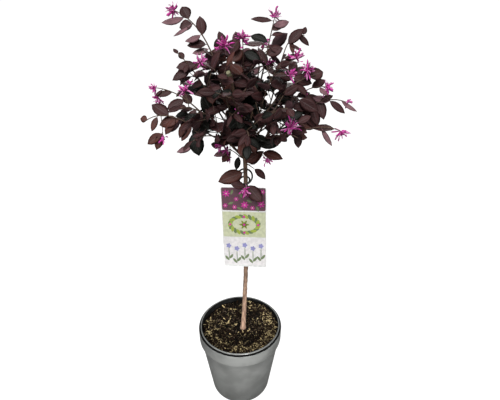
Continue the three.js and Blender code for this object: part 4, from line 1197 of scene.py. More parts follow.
def leaf_meshes(leaves, seed):
    """Thin closed blades with a stalk. At u along and v across, the half width is the sine of the way
    along the blade to the power 0.88, raised to 0.7. The blade bends down with u squared, folds up from
    its midrib with |v|, and waves along its edges. Ring points run over the upper side and back under
    it. Gives the mesh, each face's material and each corner's place on the leaf's map."""
    rng = np.random.default_rng(seed)
    count = len(leaves)

    def each(edges):
        return rng.uniform(*edges, (count, 1, 1))

    column = {key: np.array([leaf[key] for leaf in leaves]) for key in leaves[0] if key != "tint"}
    u = LEAF_STATIONS[None, :, None]
    v = LEAF_COLUMNS[None, None, :]
    length = column["length"][:, None, None]
    blade = np.clip((u - STALK_SHARE) / (1 - STALK_SHARE), 0, 1)
    bulge = np.sin(math.pi * blade**BLADE_SKEW)**BLADE_FULLNESS
    half = bulge * length * column["width"][:, None, None] / 2
    half = np.maximum(half, np.where(u < 0.5, STALK_HALF, TIP_HALF))
    fold = each(FOLDS)
    waves, start = each(WAVE_COUNTS), each(WAVE_STARTS)
    wave = each(WAVE_HEIGHTS) * np.sin(u * waves + start)
    curl = column["curl"][:, None, None] + each(CURL_SCATTER)
    tilt = each(TILTS)
    skin = np.where(u < STALK_END, STALK_SKIN, BLADE_SKIN) * LEAF_SIDES[None, None, :]
    lift = np.abs(v) * half * (fold + wave) + tilt * v * half * u - curl * length * u * u + skin
    spots = (column["root"][:, None, None] + column["along"][:, None, None] * (u * length)[..., None]
             + column["across"][:, None, None] * (v * half * np.cos(fold))[..., None]
             + column["face"][:, None, None] * lift[..., None])
    rows, sides = len(LEAF_STATIONS) - 1, len(LEAF_COLUMNS)
    per_leaf = rows * sides + 2 * sides
    below = np.zeros(per_leaf, int)
    below[:rows * sides] = np.tile(np.arange(sides) >= sides // 2, rows)
    slots = below[None] * (1 + column["pale"])[:, None]
    at_u = np.repeat(LEAF_STATIONS, sides).reshape(-1, sides)
    at_v = np.append(LEAF_COLUMNS, LEAF_COLUMNS[0]) / 2 + 0.5
    ahead, behind = at_u[1:].ravel(), at_u[:-1].ravel()
    left, right = np.tile(at_v[:-1], rows), np.tile(at_v[1:], rows)
    uv = np.zeros((per_leaf, 4, 2))
    for corner, place in enumerate(((behind, left), (behind, right), (ahead, right), (ahead, left))):
        uv[:rows * sides, corner] = np.stack(place, -1)
    uv[rows * sides:] = (0.0, 0.5)
    return rings_shape(spots), slots.ravel(), np.tile(uv, (count, 1, 1))


# A petal's path and strap. Its size is a least share and what the size of its blossom adds.
PETAL_POINTS, PETAL_SIDES, LEAST_PETALS = 8, 4, 5
PETAL_HEADING = 0.9
PETAL_SIZES, PETAL_REACHES, REACH_SKEW = (0.3, 0.7), (0.35, 1.0), 0.8
PETAL_SAGS, PETAL_SWAYS, PETAL_SWINGS = (-0.1, 0.5), (-0.16, 0.16), (3, 7)
SAG_SHORTENING, SAG_DROP = 0.12, 0.6
PETAL_TURNS, PETAL_TWISTS = (0, 6), (-2.2, 2.2)
PETAL_FOOT, PETAL_OPENING, PETAL_TIP_START, PETAL_TIP = 0.45, 2.2, 0.9, 0.45
PETAL_WIDTHS, PETAL_HALF_SKIN = (0.75, 1.15), 0.00016


def petal_meshes(blossoms, count, length, width, seed):
    """Strap petals that leave each blossom's heart in a fan about its heading: a path that runs out,
    sags with the square of the way and sways like a sine, carried by a flat four-sided ring that turns
    as it goes and narrows at both ends. A small blossom has fewer and shorter petals."""
    rng = np.random.default_rng(seed)
    sizes = np.array([size for _, _, size in blossoms])
    counts = np.maximum(LEAST_PETALS, np.round(count * sizes)).astype(int)
    heart = np.repeat([tip for tip, _, _ in blossoms], counts, 0)
    heading = np.repeat([way for _, way, _ in blossoms], counts, 0)
    total = len(heart)

    def each(edges):
        return rng.uniform(*edges, (total, 1, 1))

    way = unit(rng.normal(size=(total, 3)) + heading * PETAL_HEADING)
    full = np.repeat(PETAL_SIZES[0] + PETAL_SIZES[1] * sizes, counts)[:, None, None]
    reach = length * full * each(PETAL_REACHES)**REACH_SKEW
    side = unit(np.cross(way, unit(rng.normal(size=(total, 3)))))
    t = np.linspace(0, 1, PETAL_POINTS)[None, :, None]
    sag = each(PETAL_SAGS)
    sway = each(PETAL_SWAYS)
    swing = reach * sway * np.sin(t * each(PETAL_SWINGS))
    path = (heart[:, None] + way[:, None] * (reach * (t - SAG_SHORTENING * sag * t * t))
            - UP * (reach * sag * SAG_DROP * t * t) + side[:, None] * swing)
    along, across, third = frames_along(path)
    turn = each(PETAL_TURNS) + t * each(PETAL_TWISTS)
    flat = across * np.cos(turn) + third * np.sin(turn)
    thin = np.cross(along, flat) * PETAL_HALF_SKIN
    taper = np.minimum(1, PETAL_FOOT + PETAL_OPENING * t) * np.where(t > PETAL_TIP_START, PETAL_TIP, 1.0)
    wide = flat * (width / 2 * taper * each(PETAL_WIDTHS))
    return rings_shape(np.stack([path + wide, path + thin, path - wide, path - thin], 2))


# The pieces, each with its operator

# Stretches of the pot's profile from the underside up: metres out from a radius, metres up from a
# height, and the material
FOOT_STRETCH = ((-0.012, 0.0016, 0), (-0.0105, 0.0, 0), (-0.003, 0.0, 0), (-0.0012, 0.0004, 0),
                (-0.0003, 0.0014, 0), (0.0, 0.0034, 0))
SHOULDER_STRETCH = ((0.0, -0.0004, 0), (0.0006, 0.0002, 0))
COLLAR_STRETCH = ((-0.0016, 0.0003, 0), (-0.0008, 0.0012, 0), (-0.0004, 0.004, 0))
LIP_STRETCH = ((-0.0002, -0.0120, 0), (0.0, -0.0080, 2), (-0.0001, -0.0052, 2), (-0.0004, -0.0044, 1),
               (-0.0010, -0.0041, 1), (-0.0038, -0.0044, 1), (-0.0039, -0.0024, 2),
               (-0.0040, -0.0010, 2), (-0.0044, -0.0003, 2), (-0.0051, 0.0, 2),
               (-0.0060, -0.0002, 2), (-0.0066, -0.0009, 1), (-0.0066, -0.0024, 1))
WALL_SHARES = (0.33, 0.66)
AXIS_RADIUS = 0.004
COLLAR_WALL, INNER_RISE, INNER_DROP = 0.0062, 0.004, 0.003
FLOOR_EDGE, FLOOR_MIDDLE = 0.003, 0.0026


def profile_of_pot(pot):
    """The pot's closed profile as (radius, height) rows, and each stretch's material: 0 for the wall, 1
    for the groove and the inside, coloured near-black as painted shade, and 2 for the lip and collar top,
    coloured lighter as a painted highlight."""
    step = pot.height - pot.collar
    foot, shoulder, rim = pot.foot_radius, pot.shoulder_radius, pot.rim_radius
    low = FOOT_STRETCH[-1][1]

    def stretch(rows, radius, height):
        return [(radius + out, height + up, kind) for out, up, kind in rows]

    rows = [
        (AXIS_RADIUS, FOOT_STRETCH[0][1], 0), *stretch(FOOT_STRETCH, foot, 0.0),
        *[(foot + (shoulder - foot) * share, low + (step - low) * share, 0) for share in WALL_SHARES],
        *stretch(SHOULDER_STRETCH, shoulder, step), *stretch(COLLAR_STRETCH, rim, step),
        *stretch(LIP_STRETCH, rim, pot.height), (rim - COLLAR_WALL, step + INNER_RISE, 1),
        (shoulder - pot.wall, step - INNER_DROP, 1), (foot - pot.wall, FLOOR_EDGE, 1),
        (AXIS_RADIUS, FLOOR_MIDDLE, 1),
    ]
    table = np.array(rows)
    return table[:, :2], table[:-1, 2].astype(int)


POT_SIDES = 160


class PLANT_OT_pot(bpy.types.Operator):
    """Turns the pot's profile into its wall, collar, groove and lip"""

    bl_idname = "plant.pot"
    bl_label = "Pot"

    def execute(self, context):
        pot = context.scene.plant_pot
        profile, kinds = profile_of_pot(pot)
        ends = np.repeat([0, 1], POT_SIDES)
        slots = np.concatenate([np.repeat(kinds, POT_SIDES), ends])
        wall = mottled("pot_plastic", lighter(pot.colour, 0.02), scaled(pot.colour, 0.86), scale=26.0,
                       roughness=0.38, relief=0.00003, detail=6.0, specular=0.45)
        # Painted shade: the groove under the lip and the pot's inside are coloured near-black for the
        # shade that falls there.
        groove = mottled("pot_groove", (0.006, 0.006, 0.006), (0.003, 0.003, 0.003), scale=90.0,
                         roughness=0.7, relief=0.0001, specular=0.08)
        # Painted highlight: the lip and collar top are coloured lighter than the wall where their edge
        # catches the light.
        lip = mottled("pot_lip", pot.lip_highlight_colour, scaled(pot.lip_highlight_colour, 0.8), scale=60.0,
                      roughness=0.3, relief=0.00003)
        add_piece("nursery_pot", turned(profile, POT_SIDES), [wall, groove, lip], ["pot"], slots,
                  sharp=math.radians(38))
        return {"FINISHED"}


# The soil's forms. Each run of crumbs has its wavelength, seed and share of the crumbs' height.
SOIL_INSET, SOIL_FOOT = 0.0063, 0.004
SOIL_SIDES, SOIL_RINGS, SOIL_HEART = 200, 90, 0.001
HEAVE, HEAVE_END = 0.008, 0.0854
LUMP_HEIGHT, LUMP_EDGES = 0.0015, (0.016, 0.045)
CRUMBS = ((0.016, 4, 0.5), (0.006, 5, 0.5), (0.0035, 6, 0.3))
CRUMB_EDGES, CRUMB_SINK = (0.007, 0.02), 0.3


def soil_height(points):
    """The soil's height at places on it: it rises to the back right, with broad low lumps as in the
    solid, crumbs and grains, and is level round the stem."""
    soil = bpy.context.scene.plant_soil
    x, y = points[:, 0], points[:, 1]
    away = np.hypot(x - STEM_FOOT[0], y - STEM_FOOT[1])
    heave = HEAVE * smoothstep((x + y) / math.sqrt(2), 0, HEAVE_END)
    broad = np.sin(71 * x + 1) * np.cos(63 * y) + np.sin(170 * x - 130 * y) / 2
    flat = points * [1, 1, 0]
    crumbs = sum(ripples(flat, wavelength, seed) * share for wavelength, seed, share in CRUMBS)
    rise = (heave + LUMP_HEIGHT * broad) * smoothstep(away, *LUMP_EDGES)
    return soil.top + rise + soil.lump * (crumbs * smoothstep(away, *CRUMB_EDGES) - CRUMB_SINK)


# Bark chips. Half are strewn all over, and the rest lie in a drift round a bearing, near the edge.
CHIP_HALF_SIZE = np.array([0.0034, 0.0010, 0.0005])
CHIP_SIZES, CHIP_SKEW = (0.3, 0.9), 2.4
STREWN_SHARE, STREWN_FROM = 0.5, 0.02
DRIFT_BEARING, DRIFT_SPREAD, DRIFT_FROM = -1.0, 1.0, 0.45
CHIP_EDGE_ROOM, CHIP_STEM_ROOM, CHIP_LIFT = 0.0045, 0.011, 0.0005
CHIP_SLOPE, CHIP_ROUGHNESS = 0.4, 0.3
CHIP_PATCH, CHIP_PATCH_SHARE = 0.035, 0.09
KIND_STEPS, DRIFT_STEPS = np.array([[0.70], [0.83], [0.950]]), 0.82
CORNERS = np.array([[-1, -1, -1], [1, -1, -1], [1, 1, -1], [-1, 1, -1]], float)


def chip_meshes(count, edge):
    """Bark chips on the soil: boxes with each corner moved a little, turned about Z and tipped. Gives
    the mesh, and each chip's kind: 0 is dark, 1 grey, 2 tan and 3 gold."""
    rng = np.random.default_rng(8)
    strewn = rng.random(count) < STREWN_SHARE
    bearing = np.where(strewn, rng.uniform(0, 2 * math.pi, count),
                       rng.normal(DRIFT_BEARING, DRIFT_SPREAD, count))
    share = np.where(strewn, rng.uniform(STREWN_FROM, 1, count), rng.uniform(DRIFT_FROM, 1, count))
    away = np.sqrt(share) * (edge - CHIP_EDGE_ROOM)
    places = np.column_stack([away * np.cos(bearing), away * np.sin(bearing), np.zeros(count)])
    clear = np.hypot(places[:, 0] - STEM_FOOT[0], places[:, 1] - STEM_FOOT[1]) > CHIP_STEM_ROOM
    places, strewn = places[clear], strewn[clear]
    count = len(places)
    places[:, 2] = soil_height(places) + CHIP_LIFT
    growth = CHIP_SIZES[0] + CHIP_SIZES[1] * rng.random((count, 1, 1))**CHIP_SKEW
    turn = rng.uniform(0, math.pi, count)
    slope = rng.normal(0, CHIP_SLOPE, (count, 2))
    first = unit(np.column_stack([np.cos(turn), np.sin(turn), slope[:, 0]]))
    second = unit(np.column_stack([-np.sin(turn), np.cos(turn), slope[:, 1]]))
    base = np.stack([first, second, unit(np.cross(first, second))], 1)
    boxes = np.stack([corners + rng.uniform(-CHIP_ROUGHNESS, CHIP_ROUGHNESS, (count, 4, 3))
                      for corners in (CORNERS, CORNERS * [1, 1, -1])], 1)
    boxes = boxes * (growth * CHIP_HALF_SIZE)[:, None]
    rings = places[:, None, None] + np.einsum("nrki,nij->nrkj", boxes, base)
    draw = rng.random(count) + CHIP_PATCH_SHARE * ripples(places * [1, 1, 0], CHIP_PATCH, seed=9)
    kinds = (draw > np.where(strewn, 1.0, DRIFT_STEPS) * KIND_STEPS).sum(0)
    return rings_shape(rings), kinds


class PLANT_OT_soil(bpy.types.Operator):
    """Fills the pot with lumpy soil and strews bark chips on it"""

    bl_idname = "plant.soil"
    bl_label = "Soil"

    def execute(self, context):
        soil, pot = context.scene.plant_soil, context.scene.plant_pot
        edge = pot.rim_radius - SOIL_INSET
        inward = np.linspace(edge, SOIL_HEART, SOIL_RINGS)[1:]
        radii = np.concatenate([[pot.foot_radius - SOIL_FOOT, edge], inward])[:, None]
        angle = np.arange(SOIL_SIDES) * 2 * math.pi / SOIL_SIDES
        rings = np.stack([radii * np.cos(angle), radii * np.sin(angle), 0 * radii * angle], -1)
        rings[..., 2] = soil_height(rings.reshape(-1, 3)).reshape(rings.shape[:2])
        rings[0, :, 2] = SOIL_FOOT
        peat = mottled("peat", lighter(soil.colour, 0.006), soil.colour, scale=420.0, roughness=0.95,
                       relief=0.0010, detail=8.0, specular=0.03)
        add_piece("potting_soil", rings_shape(rings[None]), [peat], ["soil"])

        chip = soil.chip_colour
        finishes = (
            ("chip_dark", (0.024, 0.013, 0.006), (0.006, 0.003, 0.002), 0.9),
            ("chip_grey", (0.090, 0.068, 0.045), (0.030, 0.021, 0.015), 0.85),
            ("chip_tan", scaled(chip, 0.40), scaled(chip, 0.14), 0.85),
            ("chip_gold", chip, scaled(chip, 0.5), 0.85),
        )
        materials = [mottled(*finish, scale=500.0, roughness=roughness, relief=0.0002, specular=0.1)
                     for *finish, roughness in finishes]
        shape, kinds = chip_meshes(soil.chips, edge)
        slots = np.repeat(kinds, len(shape[1]) // len(kinds))
        add_piece("bark_chips", shape, materials, (), slots, sharp=math.radians(30))
        return {"FINISHED"}


# The bark: how far its ridges are drawn out along a limb, and the wavelength and share of its ridges and
# swells. The stem is a little thicker at even joints, where leaves once stood.
RIDGE_RUN = 0.18
RIDGES, SWELLS = (0.0035, 0.6), (0.012, 0.7)
STEM_RINGS, STEM_SIDES, BOUGH_SIDES = 220, 36, 14
RING_CROWDING = 1.25
STEM_SINK, STEM_END = 0.001, 0.6
JOINT_SPACING, JOINT_RISE, JOINT_RUN = 0.034, 0.00035, 0.0022
BOUGH_RELIEF = 0.7
KNOB_SHARES = np.array([1.0, 0.85])


def barked(paths, radii, sides, relief, seed):
    """Limbs with the bark's relief: round rings along each path, whose radius is raised along fine
    lengthwise ridges and in longer swells."""
    around = circles_along(paths, sides)
    rings = paths[:, :, None] + radii[:, :, None, None] * around
    ridges = (ripples(rings * [1, 1, RIDGE_RUN], RIDGES[0], seed) * RIDGES[1]
              + ripples(rings, SWELLS[0], seed + 1) * SWELLS[1])
    return rings_shape(rings + around * (ridges * relief)[..., None])


class PLANT_OT_stem(bpy.types.Operator):
    """Raises the stem and its boughs with the bark's relief"""

    bl_idname = "plant.stem"
    bl_label = "Stem and boughs"

    def execute(self, context):
        stem = context.scene.plant_stem
        bark = mottled("bark", stem.colour, stem.shade, scale=260.0, roughness=0.8, relief=0.0005,
                       stretch=(1, 1, 0.22), detail=8.0)
        up = np.linspace(0, 1, STEM_RINGS)**RING_CROWDING
        heights = STEM_FOOT[2] - STEM_SINK + up * (STEM_TOP[2] - STEM_FOOT[2] + STEM_SINK)
        radii = stem_radius_at(np.maximum(heights, STEM_FOOT[2]))
        radii[-1] *= STEM_END
        past_joint = np.mod(heights, JOINT_SPACING) - JOINT_SPACING / 2
        radii = radii + JOINT_RISE * np.exp(-(past_joint / JOINT_RUN)**2)
        shape = barked(stem_at(heights)[None], radii[None], STEM_SIDES, stem.relief, seed=21)
        add_piece("stem_bark", shape, [bark], ["trunk"])

        boughs = limbs()[0]
        paths = np.array(list(boughs.values()))
        taper = np.linspace(stem.bough_radius, stem.bough_tip_radius, LIMB_POINTS)
        radii = np.tile(taper, (len(paths), 1))
        radii[-1, -2:] = stem.knob * KNOB_SHARES
        shape = barked(paths, radii, BOUGH_SIDES, stem.relief * BOUGH_RELIEF, seed=31)

        # The pruned bough comes last. The last row of its quads and the fan on its end are cut wood.
        cut_face = np.zeros(len(shape[1]), int)
        cut_face[-3 * BOUGH_SIDES:-2 * BOUGH_SIDES] = 1
        cut_face[-BOUGH_SIDES:] = 1
        pith = mottled("cut_wood", stem.pith, scaled(stem.pith, 0.6), scale=900.0, roughness=0.8,
                       relief=0.0001)
        nodes = ["bough_" + name for name in boughs]
        add_piece("bough_bark", shape, [bark, pith], nodes, cut_face, sharp=math.radians(50))
        return {"FINISHED"}


class PLANT_OT_twigs(bpy.types.Operator):
    """Grows the sprays' stems and the twigs"""

    bl_idname = "plant.twigs"
    bl_label = "Twigs"

    def execute(self, context):
        stem = context.scene.plant_stem
        shapes = []
        for steps, sides in ((LIMB_POINTS, 7), (TWIG_POINTS, 5)):
            chosen = [twig for twig in grown().twigs if len(twig[0]) == steps]
            paths = np.array([line for line, _, _ in chosen])
            radii = np.array([np.linspace(foot, tip, steps) for _, foot, tip in chosen])
            shapes.append(tubes(paths, radii, sides))
        bark = mottled("twig_bark", scaled(stem.colour, 0.45), scaled(stem.shade, 0.55), scale=420.0,
                       roughness=0.75, relief=0.0003, detail=6.0)
        masses = ["foliage_" + mass["name"] for mass in limbs()[1]]
        add_piece("twigs", joined(shapes), [bark], masses)
        return {"FINISHED"}


class PLANT_OT_leaves(bpy.types.Operator):
    """Grows the leaves, a piece for each tint"""

    bl_idname = "plant.leaves"
    bl_label = "Leaves"

    def execute(self, context):
        foliage = context.scene.plant_foliage
        under = foliage.underside
        kinds = {
            "plum": (foliage.plum, lighter(foliage.plum, 0.1), 0.35, under, 1),
            "russet": (foliage.russet, lighter(foliage.russet, 0.12), 0.35, scaled(under, 0.8), 2),
            # The near-black leaves and their dark undersides are older leaves darkened as painted shade.
            "night": (foliage.night, lighter(foliage.night, 0.06), 0.4, (0.040, 0.036, 0.030), 3),
        }
        for tint, (colour, vein, strength, below, seed) in kinds.items():
            leaves = [leaf for leaf in grown().leaves if leaf["tint"] == tint]
            shape, slots, uv = leaf_meshes(leaves, seed)
            materials = [leafy(tint + "_leaf", colour, vein, strength, roughness=0.48, specular=0.19)]
            for label, share in (("_underside", 0.45), ("_pale_underside", 1.0)):
                shade = scaled(below, share)
                materials.append(leafy(tint + label, shade, scaled(shade, 0.6), strength=0.5,
                                       roughness=0.65, specular=0.25))
            add_piece("leaves_" + tint, shape, materials, (), slots, uv)
        return {"FINISHED"}


PALE_PETAL_SHARE = 0.38


class PLANT_OT_blossoms(bpy.types.Operator):
    """Opens the strap-petalled flowers at the tips that bloom"""

    bl_idname = "plant.blossoms"
    bl_label = "Blossoms"

    def execute(self, context):
        blossom = context.scene.plant_blossom
        rosy = mottled("petal", blossom.colour, scaled(blossom.colour, 0.6), scale=300.0, roughness=0.6,
                       relief=0.0001)
        pale = mottled("petal_pale", blossom.pale, scaled(blossom.pale, 0.75), scale=300.0,
                       roughness=0.6, relief=0.0001)
        shape = petal_meshes(grown().blossoms, blossom.petals, blossom.petal_length,
                             blossom.petal_width, seed=6)
        per_petal = (PETAL_POINTS - 1) * PETAL_SIDES + 2 * PETAL_SIDES
        petals = len(shape[1]) // per_petal
        rng = np.random.default_rng(7)
        kinds = rng.choice([0, 1], petals, p=[1 - PALE_PETAL_SHARE, PALE_PETAL_SHARE])
        add_piece("petals", shape, [rosy, pale], (), np.repeat(kinds, per_petal))
        return {"FINISHED"}


# The card's place, and its tie: a ring through the hole, a coiled knot, and two loops round the stem
KNOT = np.array([0.0098, -0.0093, 0.5149])
RING_CENTRE = np.array([0.0098, -0.0132, 0.511])
CARD_TURN, CARD_TILT = math.radians(-6), math.radians(-1.1)
HOLE_ROOM = 0.0003
LOOP_TOPS, LOOP_ROOM, LOOP_STEPS = (0.541, 0.526), 0.0022, 64
COIL_TURNS, COIL_STEPS, COIL_RADIUS, COIL_HALF, COIL_WIRE = 3.2, 60, 0.0013, 0.0022, 0.8

# The card's print, across and up from the middle of its top edge: a dark band with rosettes and sprigs,
# a pale panel with a wreath round a star, and a pale panel with a row of small flowers. A layer of ink
# is thicker than life, so that one shows over another.
PRINT = 0.00006
MARGIN = 0.0015
BAND_TOP, BAND_FOOT, BAND_CORNER, BAND_HOLE = -0.0012, -0.048, 0.003, 0.0012
LAWN_TOP, LAWN_FOOT, LILAC_TOP, LILAC_ROOM, PANEL_CORNER = -0.051, -0.106, -0.108, 0.004, 0.001
LARGE_ROSETTES = [(-0.033, -0.013), (0.002, -0.036), (0.034, -0.034)]
SMALL_ROSETTES = [(-0.014, -0.024), (-0.036, -0.038), (0.018, -0.019), (-0.018, -0.041),
                  (0.017, -0.042), (0.037, -0.009)]
SPRIGS = [(-0.025, -0.033), (-0.022, -0.010), (-0.005, -0.016), (0.011, -0.028), (0.027, -0.020),
          (0.008, -0.009), (0.027, -0.044), (-0.008, -0.044)]
SPRIG_BEARINGS = (0.4, 5.8)
STAR, STAR_RAYS = np.array([0.0, -0.0785]), 6
WREATH_SIZE, WREATH_LEAVES, WREATH_SLANT = (0.028, 0.018), 22, 0.9
DOTS = STAR + [(0.0, 0.0), (-0.028, 0.0), (0.028, 0.0), (0.0, 0.0175), (0.0, -0.0175)]
ROW = np.column_stack([np.linspace(-0.033, 0.033, 5), [0, -0.006, 0.002, -0.005, 0.001]])
BELL_HEIGHT, STALK_HEIGHT = -0.127, -0.145
LOW_LEAF_ASIDE, LOW_LEAF_HEIGHT, LOW_LEAF_STEP, LOW_LEAF_SLANT = 0.0044, -0.1545, 0.002, 0.6


def hang(shape):
    """Carries a shape of (across, depth, up) from the card's own place, its top middle, to the part's
    frame: turned about Z, then tilted about Y."""
    cos, sin = math.cos(CARD_TURN), math.sin(CARD_TURN)
    about_z = np.array([[cos, -sin, 0], [sin, cos, 0], [0, 0, 1]])
    cos, sin = math.cos(CARD_TILT), math.sin(CARD_TILT)
    about_y = np.array([[cos, 0, sin], [0, 1, 0], [-sin, 0, cos]])
    return shape[0] @ (about_y @ about_z).T + RING_CENTRE, shape[1]


def rounded(left, right, bottom, top, corner, steps=6):
    """A rectangle's outline with round corners, anticlockwise."""
    quarter = np.linspace(0, math.pi / 2, steps)
    arcs = []
    for k, (x, z) in enumerate([(right - corner, bottom + corner), (right - corner, top - corner),
                                (left + corner, top - corner), (left + corner, bottom + corner)]):
        angle = quarter + (k - 1) * math.pi / 2
        arcs.append(np.column_stack([x + corner * np.cos(angle), z + corner * np.sin(angle)]))
    return np.concatenate(arcs)


def holed_sheet(outline, centre, hole, thickness):
    """A flat sheet with a round hole: rings on the outline and the hole, back and front, joined in a grid
    that closes on itself. Each corner of the outline is met by the hole's point on the way to it."""
    inner = centre + unit(outline - centre) * hole
    half = thickness / 2
    rings = [np.column_stack([edge[:, 0], np.full(len(edge), depth), edge[:, 1]])
             for edge, depth in ((outline, half), (outline, -half), (inner, -half), (inner, half))]
    return np.concatenate(rings), loop_faces(4, len(outline))


def blobs(spots, wide, tall, lobes=0, depth=0.0, steps=40):
    """Outlines round spots: ovals whose radius swells and shrinks in so many lobes."""
    angle = np.arange(steps) * 2 * math.pi / steps
    size = 1 - depth * (0.5 - 0.5 * np.cos(lobes * angle))
    oval = np.column_stack([wide * size * np.cos(angle), tall * size * np.sin(angle)])
    return np.array(spots)[:, None] + oval


def leaflets(spots, bearings, long, wide, steps=24):
    """Lens outlines round spots, each turned to a bearing: half the length is a cosine and half the
    width a sine raised to 1.4."""
    angle = np.arange(steps) * 2 * math.pi / steps
    ahead, aside = long * np.cos(angle), wide * np.sin(angle) * np.abs(np.sin(angle))**0.4
    cos, sin = np.cos(bearings)[:, None], np.sin(bearings)[:, None]
    return np.array(spots)[:, None] + np.stack([ahead * cos - aside * sin, ahead * sin + aside * cos], -1)


def print_layers(card, centre):
    """The card's print, as pairs of an ink and a shape: each shape's top and foot stand a whole number
    of ink layers before the card's face."""
    edge, front = card.width / 2 - MARGIN, -card.thickness / 2
    upright = np.full(len(ROW), math.pi / 2)
    band, faces = holed_sheet(rounded(-edge, edge, BAND_FOOT, BAND_TOP, BAND_CORNER), centre,
                              card.hole + BAND_HOLE, PRINT)
    rosettes = np.concatenate([blobs(LARGE_ROSETTES, wide=0.0080, tall=0.0080, lobes=7, depth=0.6),
                               blobs(SMALL_ROSETTES, wide=0.0050, tall=0.0050, lobes=6, depth=0.6)])
    sprigs = leaflets(SPRIGS, np.linspace(*SPRIG_BEARINGS, len(SPRIGS)), long=0.0055, wide=0.0022)
    lawn = rounded(-edge, edge, LAWN_FOOT, LAWN_TOP, PANEL_CORNER)
    lilac = rounded(-edge, edge, LILAC_ROOM - card.height, LILAC_TOP, PANEL_CORNER)
    angle = np.arange(WREATH_LEAVES) * 2 * math.pi / WREATH_LEAVES
    ring = STAR + np.column_stack([np.cos(angle), np.sin(angle)]) * WREATH_SIZE
    wreath = leaflets(ring, angle + WREATH_SLANT, long=0.0066, wide=0.0034)
    rays = np.arange(STAR_RAYS) * 2 * math.pi / STAR_RAYS
    star = leaflets([STAR] * STAR_RAYS, rays, long=0.0105, wide=0.0026)
    bells = blobs(ROW + [0, BELL_HEIGHT], wide=0.0056, tall=0.0060, lobes=5, depth=0.3)
    dots = blobs(DOTS, wide=0.0024, tall=0.0024)
    eyes = blobs(LARGE_ROSETTES + SMALL_ROSETTES, wide=0.0012, tall=0.0012)
    blades = [leaflets(ROW + [0, STALK_HEIGHT], upright, long=0.0160, wide=0.0008)]
    for side in (-1, 1):
        spots = ROW + [side * LOW_LEAF_ASIDE, LOW_LEAF_HEIGHT + side * LOW_LEAF_STEP]
        blades.append(leaflets(spots, upright - side * LOW_LEAF_SLANT, long=0.0066, wide=0.0026))
    layers = (
        ("bush", sprigs, 2, 0), ("rosette", rosettes, 3, 0), ("lawn", lawn[None], 1, 0),
        ("lilac", lilac[None], 1, 0), ("bush", wreath[::2], 2, 0), ("bright", wreath[1::2], 3, 0),
        ("bright", star, 2, 0), ("bush", np.concatenate(blades), 2, 0),
        ("violet", bells, 2, 0), ("rosette", dots, 4, 0), ("lawn", eyes, 4, 1),
    )
    return [("band", (band + [0, front, 0], faces)),
            *[(ink, plates(outlines, front - top * PRINT, front - foot * PRINT))
              for ink, outlines, top, foot in layers]]


def tie_wires(card):
    """The tie's ring, its loops round the stem, and the knot: a coil of even pitch."""
    wires = [hoop(RING_CENTRE, np.array([0.0, 1.0, 0.0]), UP, card.ring, card.wire)]
    for top in LOOP_TOPS:
        back = stem_at(top) + [0, stem_radius_at(top) + LOOP_ROOM, 0]
        rise = unit(back - KNOT)
        side = unit(np.cross(UP, rise))
        wires.append(hoop((back + KNOT) / 2, rise, side, np.linalg.norm(back - KNOT) / 2, card.wire,
                          LOOP_STEPS))
    turn = np.linspace(0, COIL_TURNS * 2 * math.pi, COIL_STEPS)
    coil = KNOT + np.column_stack([COIL_RADIUS * np.cos(turn), COIL_RADIUS * np.sin(turn),
                                   COIL_HALF * (turn / turn[-1] * 2 - 1)])
    wires.append(tubes(coil[None], np.full((1, COIL_STEPS), card.wire * COIL_WIRE), sides=8))
    return joined(wires)


class PLANT_OT_card(bpy.types.Operator):
    """Hangs the card with its plain generic print, and the wire tie that holds it to the stem"""

    bl_idname = "plant.card"
    bl_label = "Card and tie"

    def execute(self, context):
        card = context.scene.plant_card
        half = card.width / 2
        centre = np.array([0, card.wire + HOLE_ROOM - card.ring - card.hole])
        sheet = holed_sheet(rounded(-half, half, -card.height, 0, card.corner), centre, card.hole,
                            card.thickness)
        layers = [("paper", sheet), *print_layers(card, centre)]
        inks = ["paper", "band", "rosette", "lawn", "lilac", "bush", "violet", "bright"]
        materials = []
        for ink in inks:
            colour = getattr(card, ink)
            materials.append(mottled("card_" + ink, colour, scaled(colour, 0.86), scale=160.0,
                                     roughness=0.35, relief=0.00002))
        kinds = np.concatenate([np.full(len(shape[1]), inks.index(ink)) for ink, shape in layers])
        add_piece("card_sheet", hang(joined([shape for _, shape in layers])), materials,
                  ["label_card"], kinds, sharp=math.radians(30))
        coated = mottled("coated_wire", lighter(card.tie, 0.01), scaled(card.tie, 0.6), scale=300.0,
                         roughness=0.4, relief=0.00005)
        add_piece("wire_tie", tie_wires(card), [coated], ["label_tie"])
        return {"FINISHED"}


# The stage: its floor's half width, the lens as millimetres on a sensor, and the lamps, each with its
# place, the place it points at and the setting of its power
FLOOR_HALF = 30
SENSOR, LENS = 36, 23.04
SEEN_SURROUND = 1.05
SUN_ANGLES, SUN_SOFTNESS = (50, 0, -8), 40
LAMP_SIZE = 1.3
SPOT_ANGLE, SPOT_BLEND, SPOT_SOFTNESS = 22, 1.0, 0.08
LAMPS = (
    ("key", "AREA", (-1.3, -1.6, 2.3), (0, 0, 0.45), "key"),
    ("back", "AREA", (0.4, 1.7, 2.0), (0, 0, 0.45), "key"),
    ("low", "SPOT", (0.20, -0.88, 0.34), (0.0, -0.09, 0.165), "low"),
)


def put_up(name, data, place=(0, 0, 0), angles=(0, 0, 0)):
    """Puts a thing in the scene at a place, turned by angles in radians."""
    thing = bpy.data.objects.new(name, data)
    thing.location = place
    thing.rotation_euler = angles
    bpy.context.collection.objects.link(thing)
    return thing


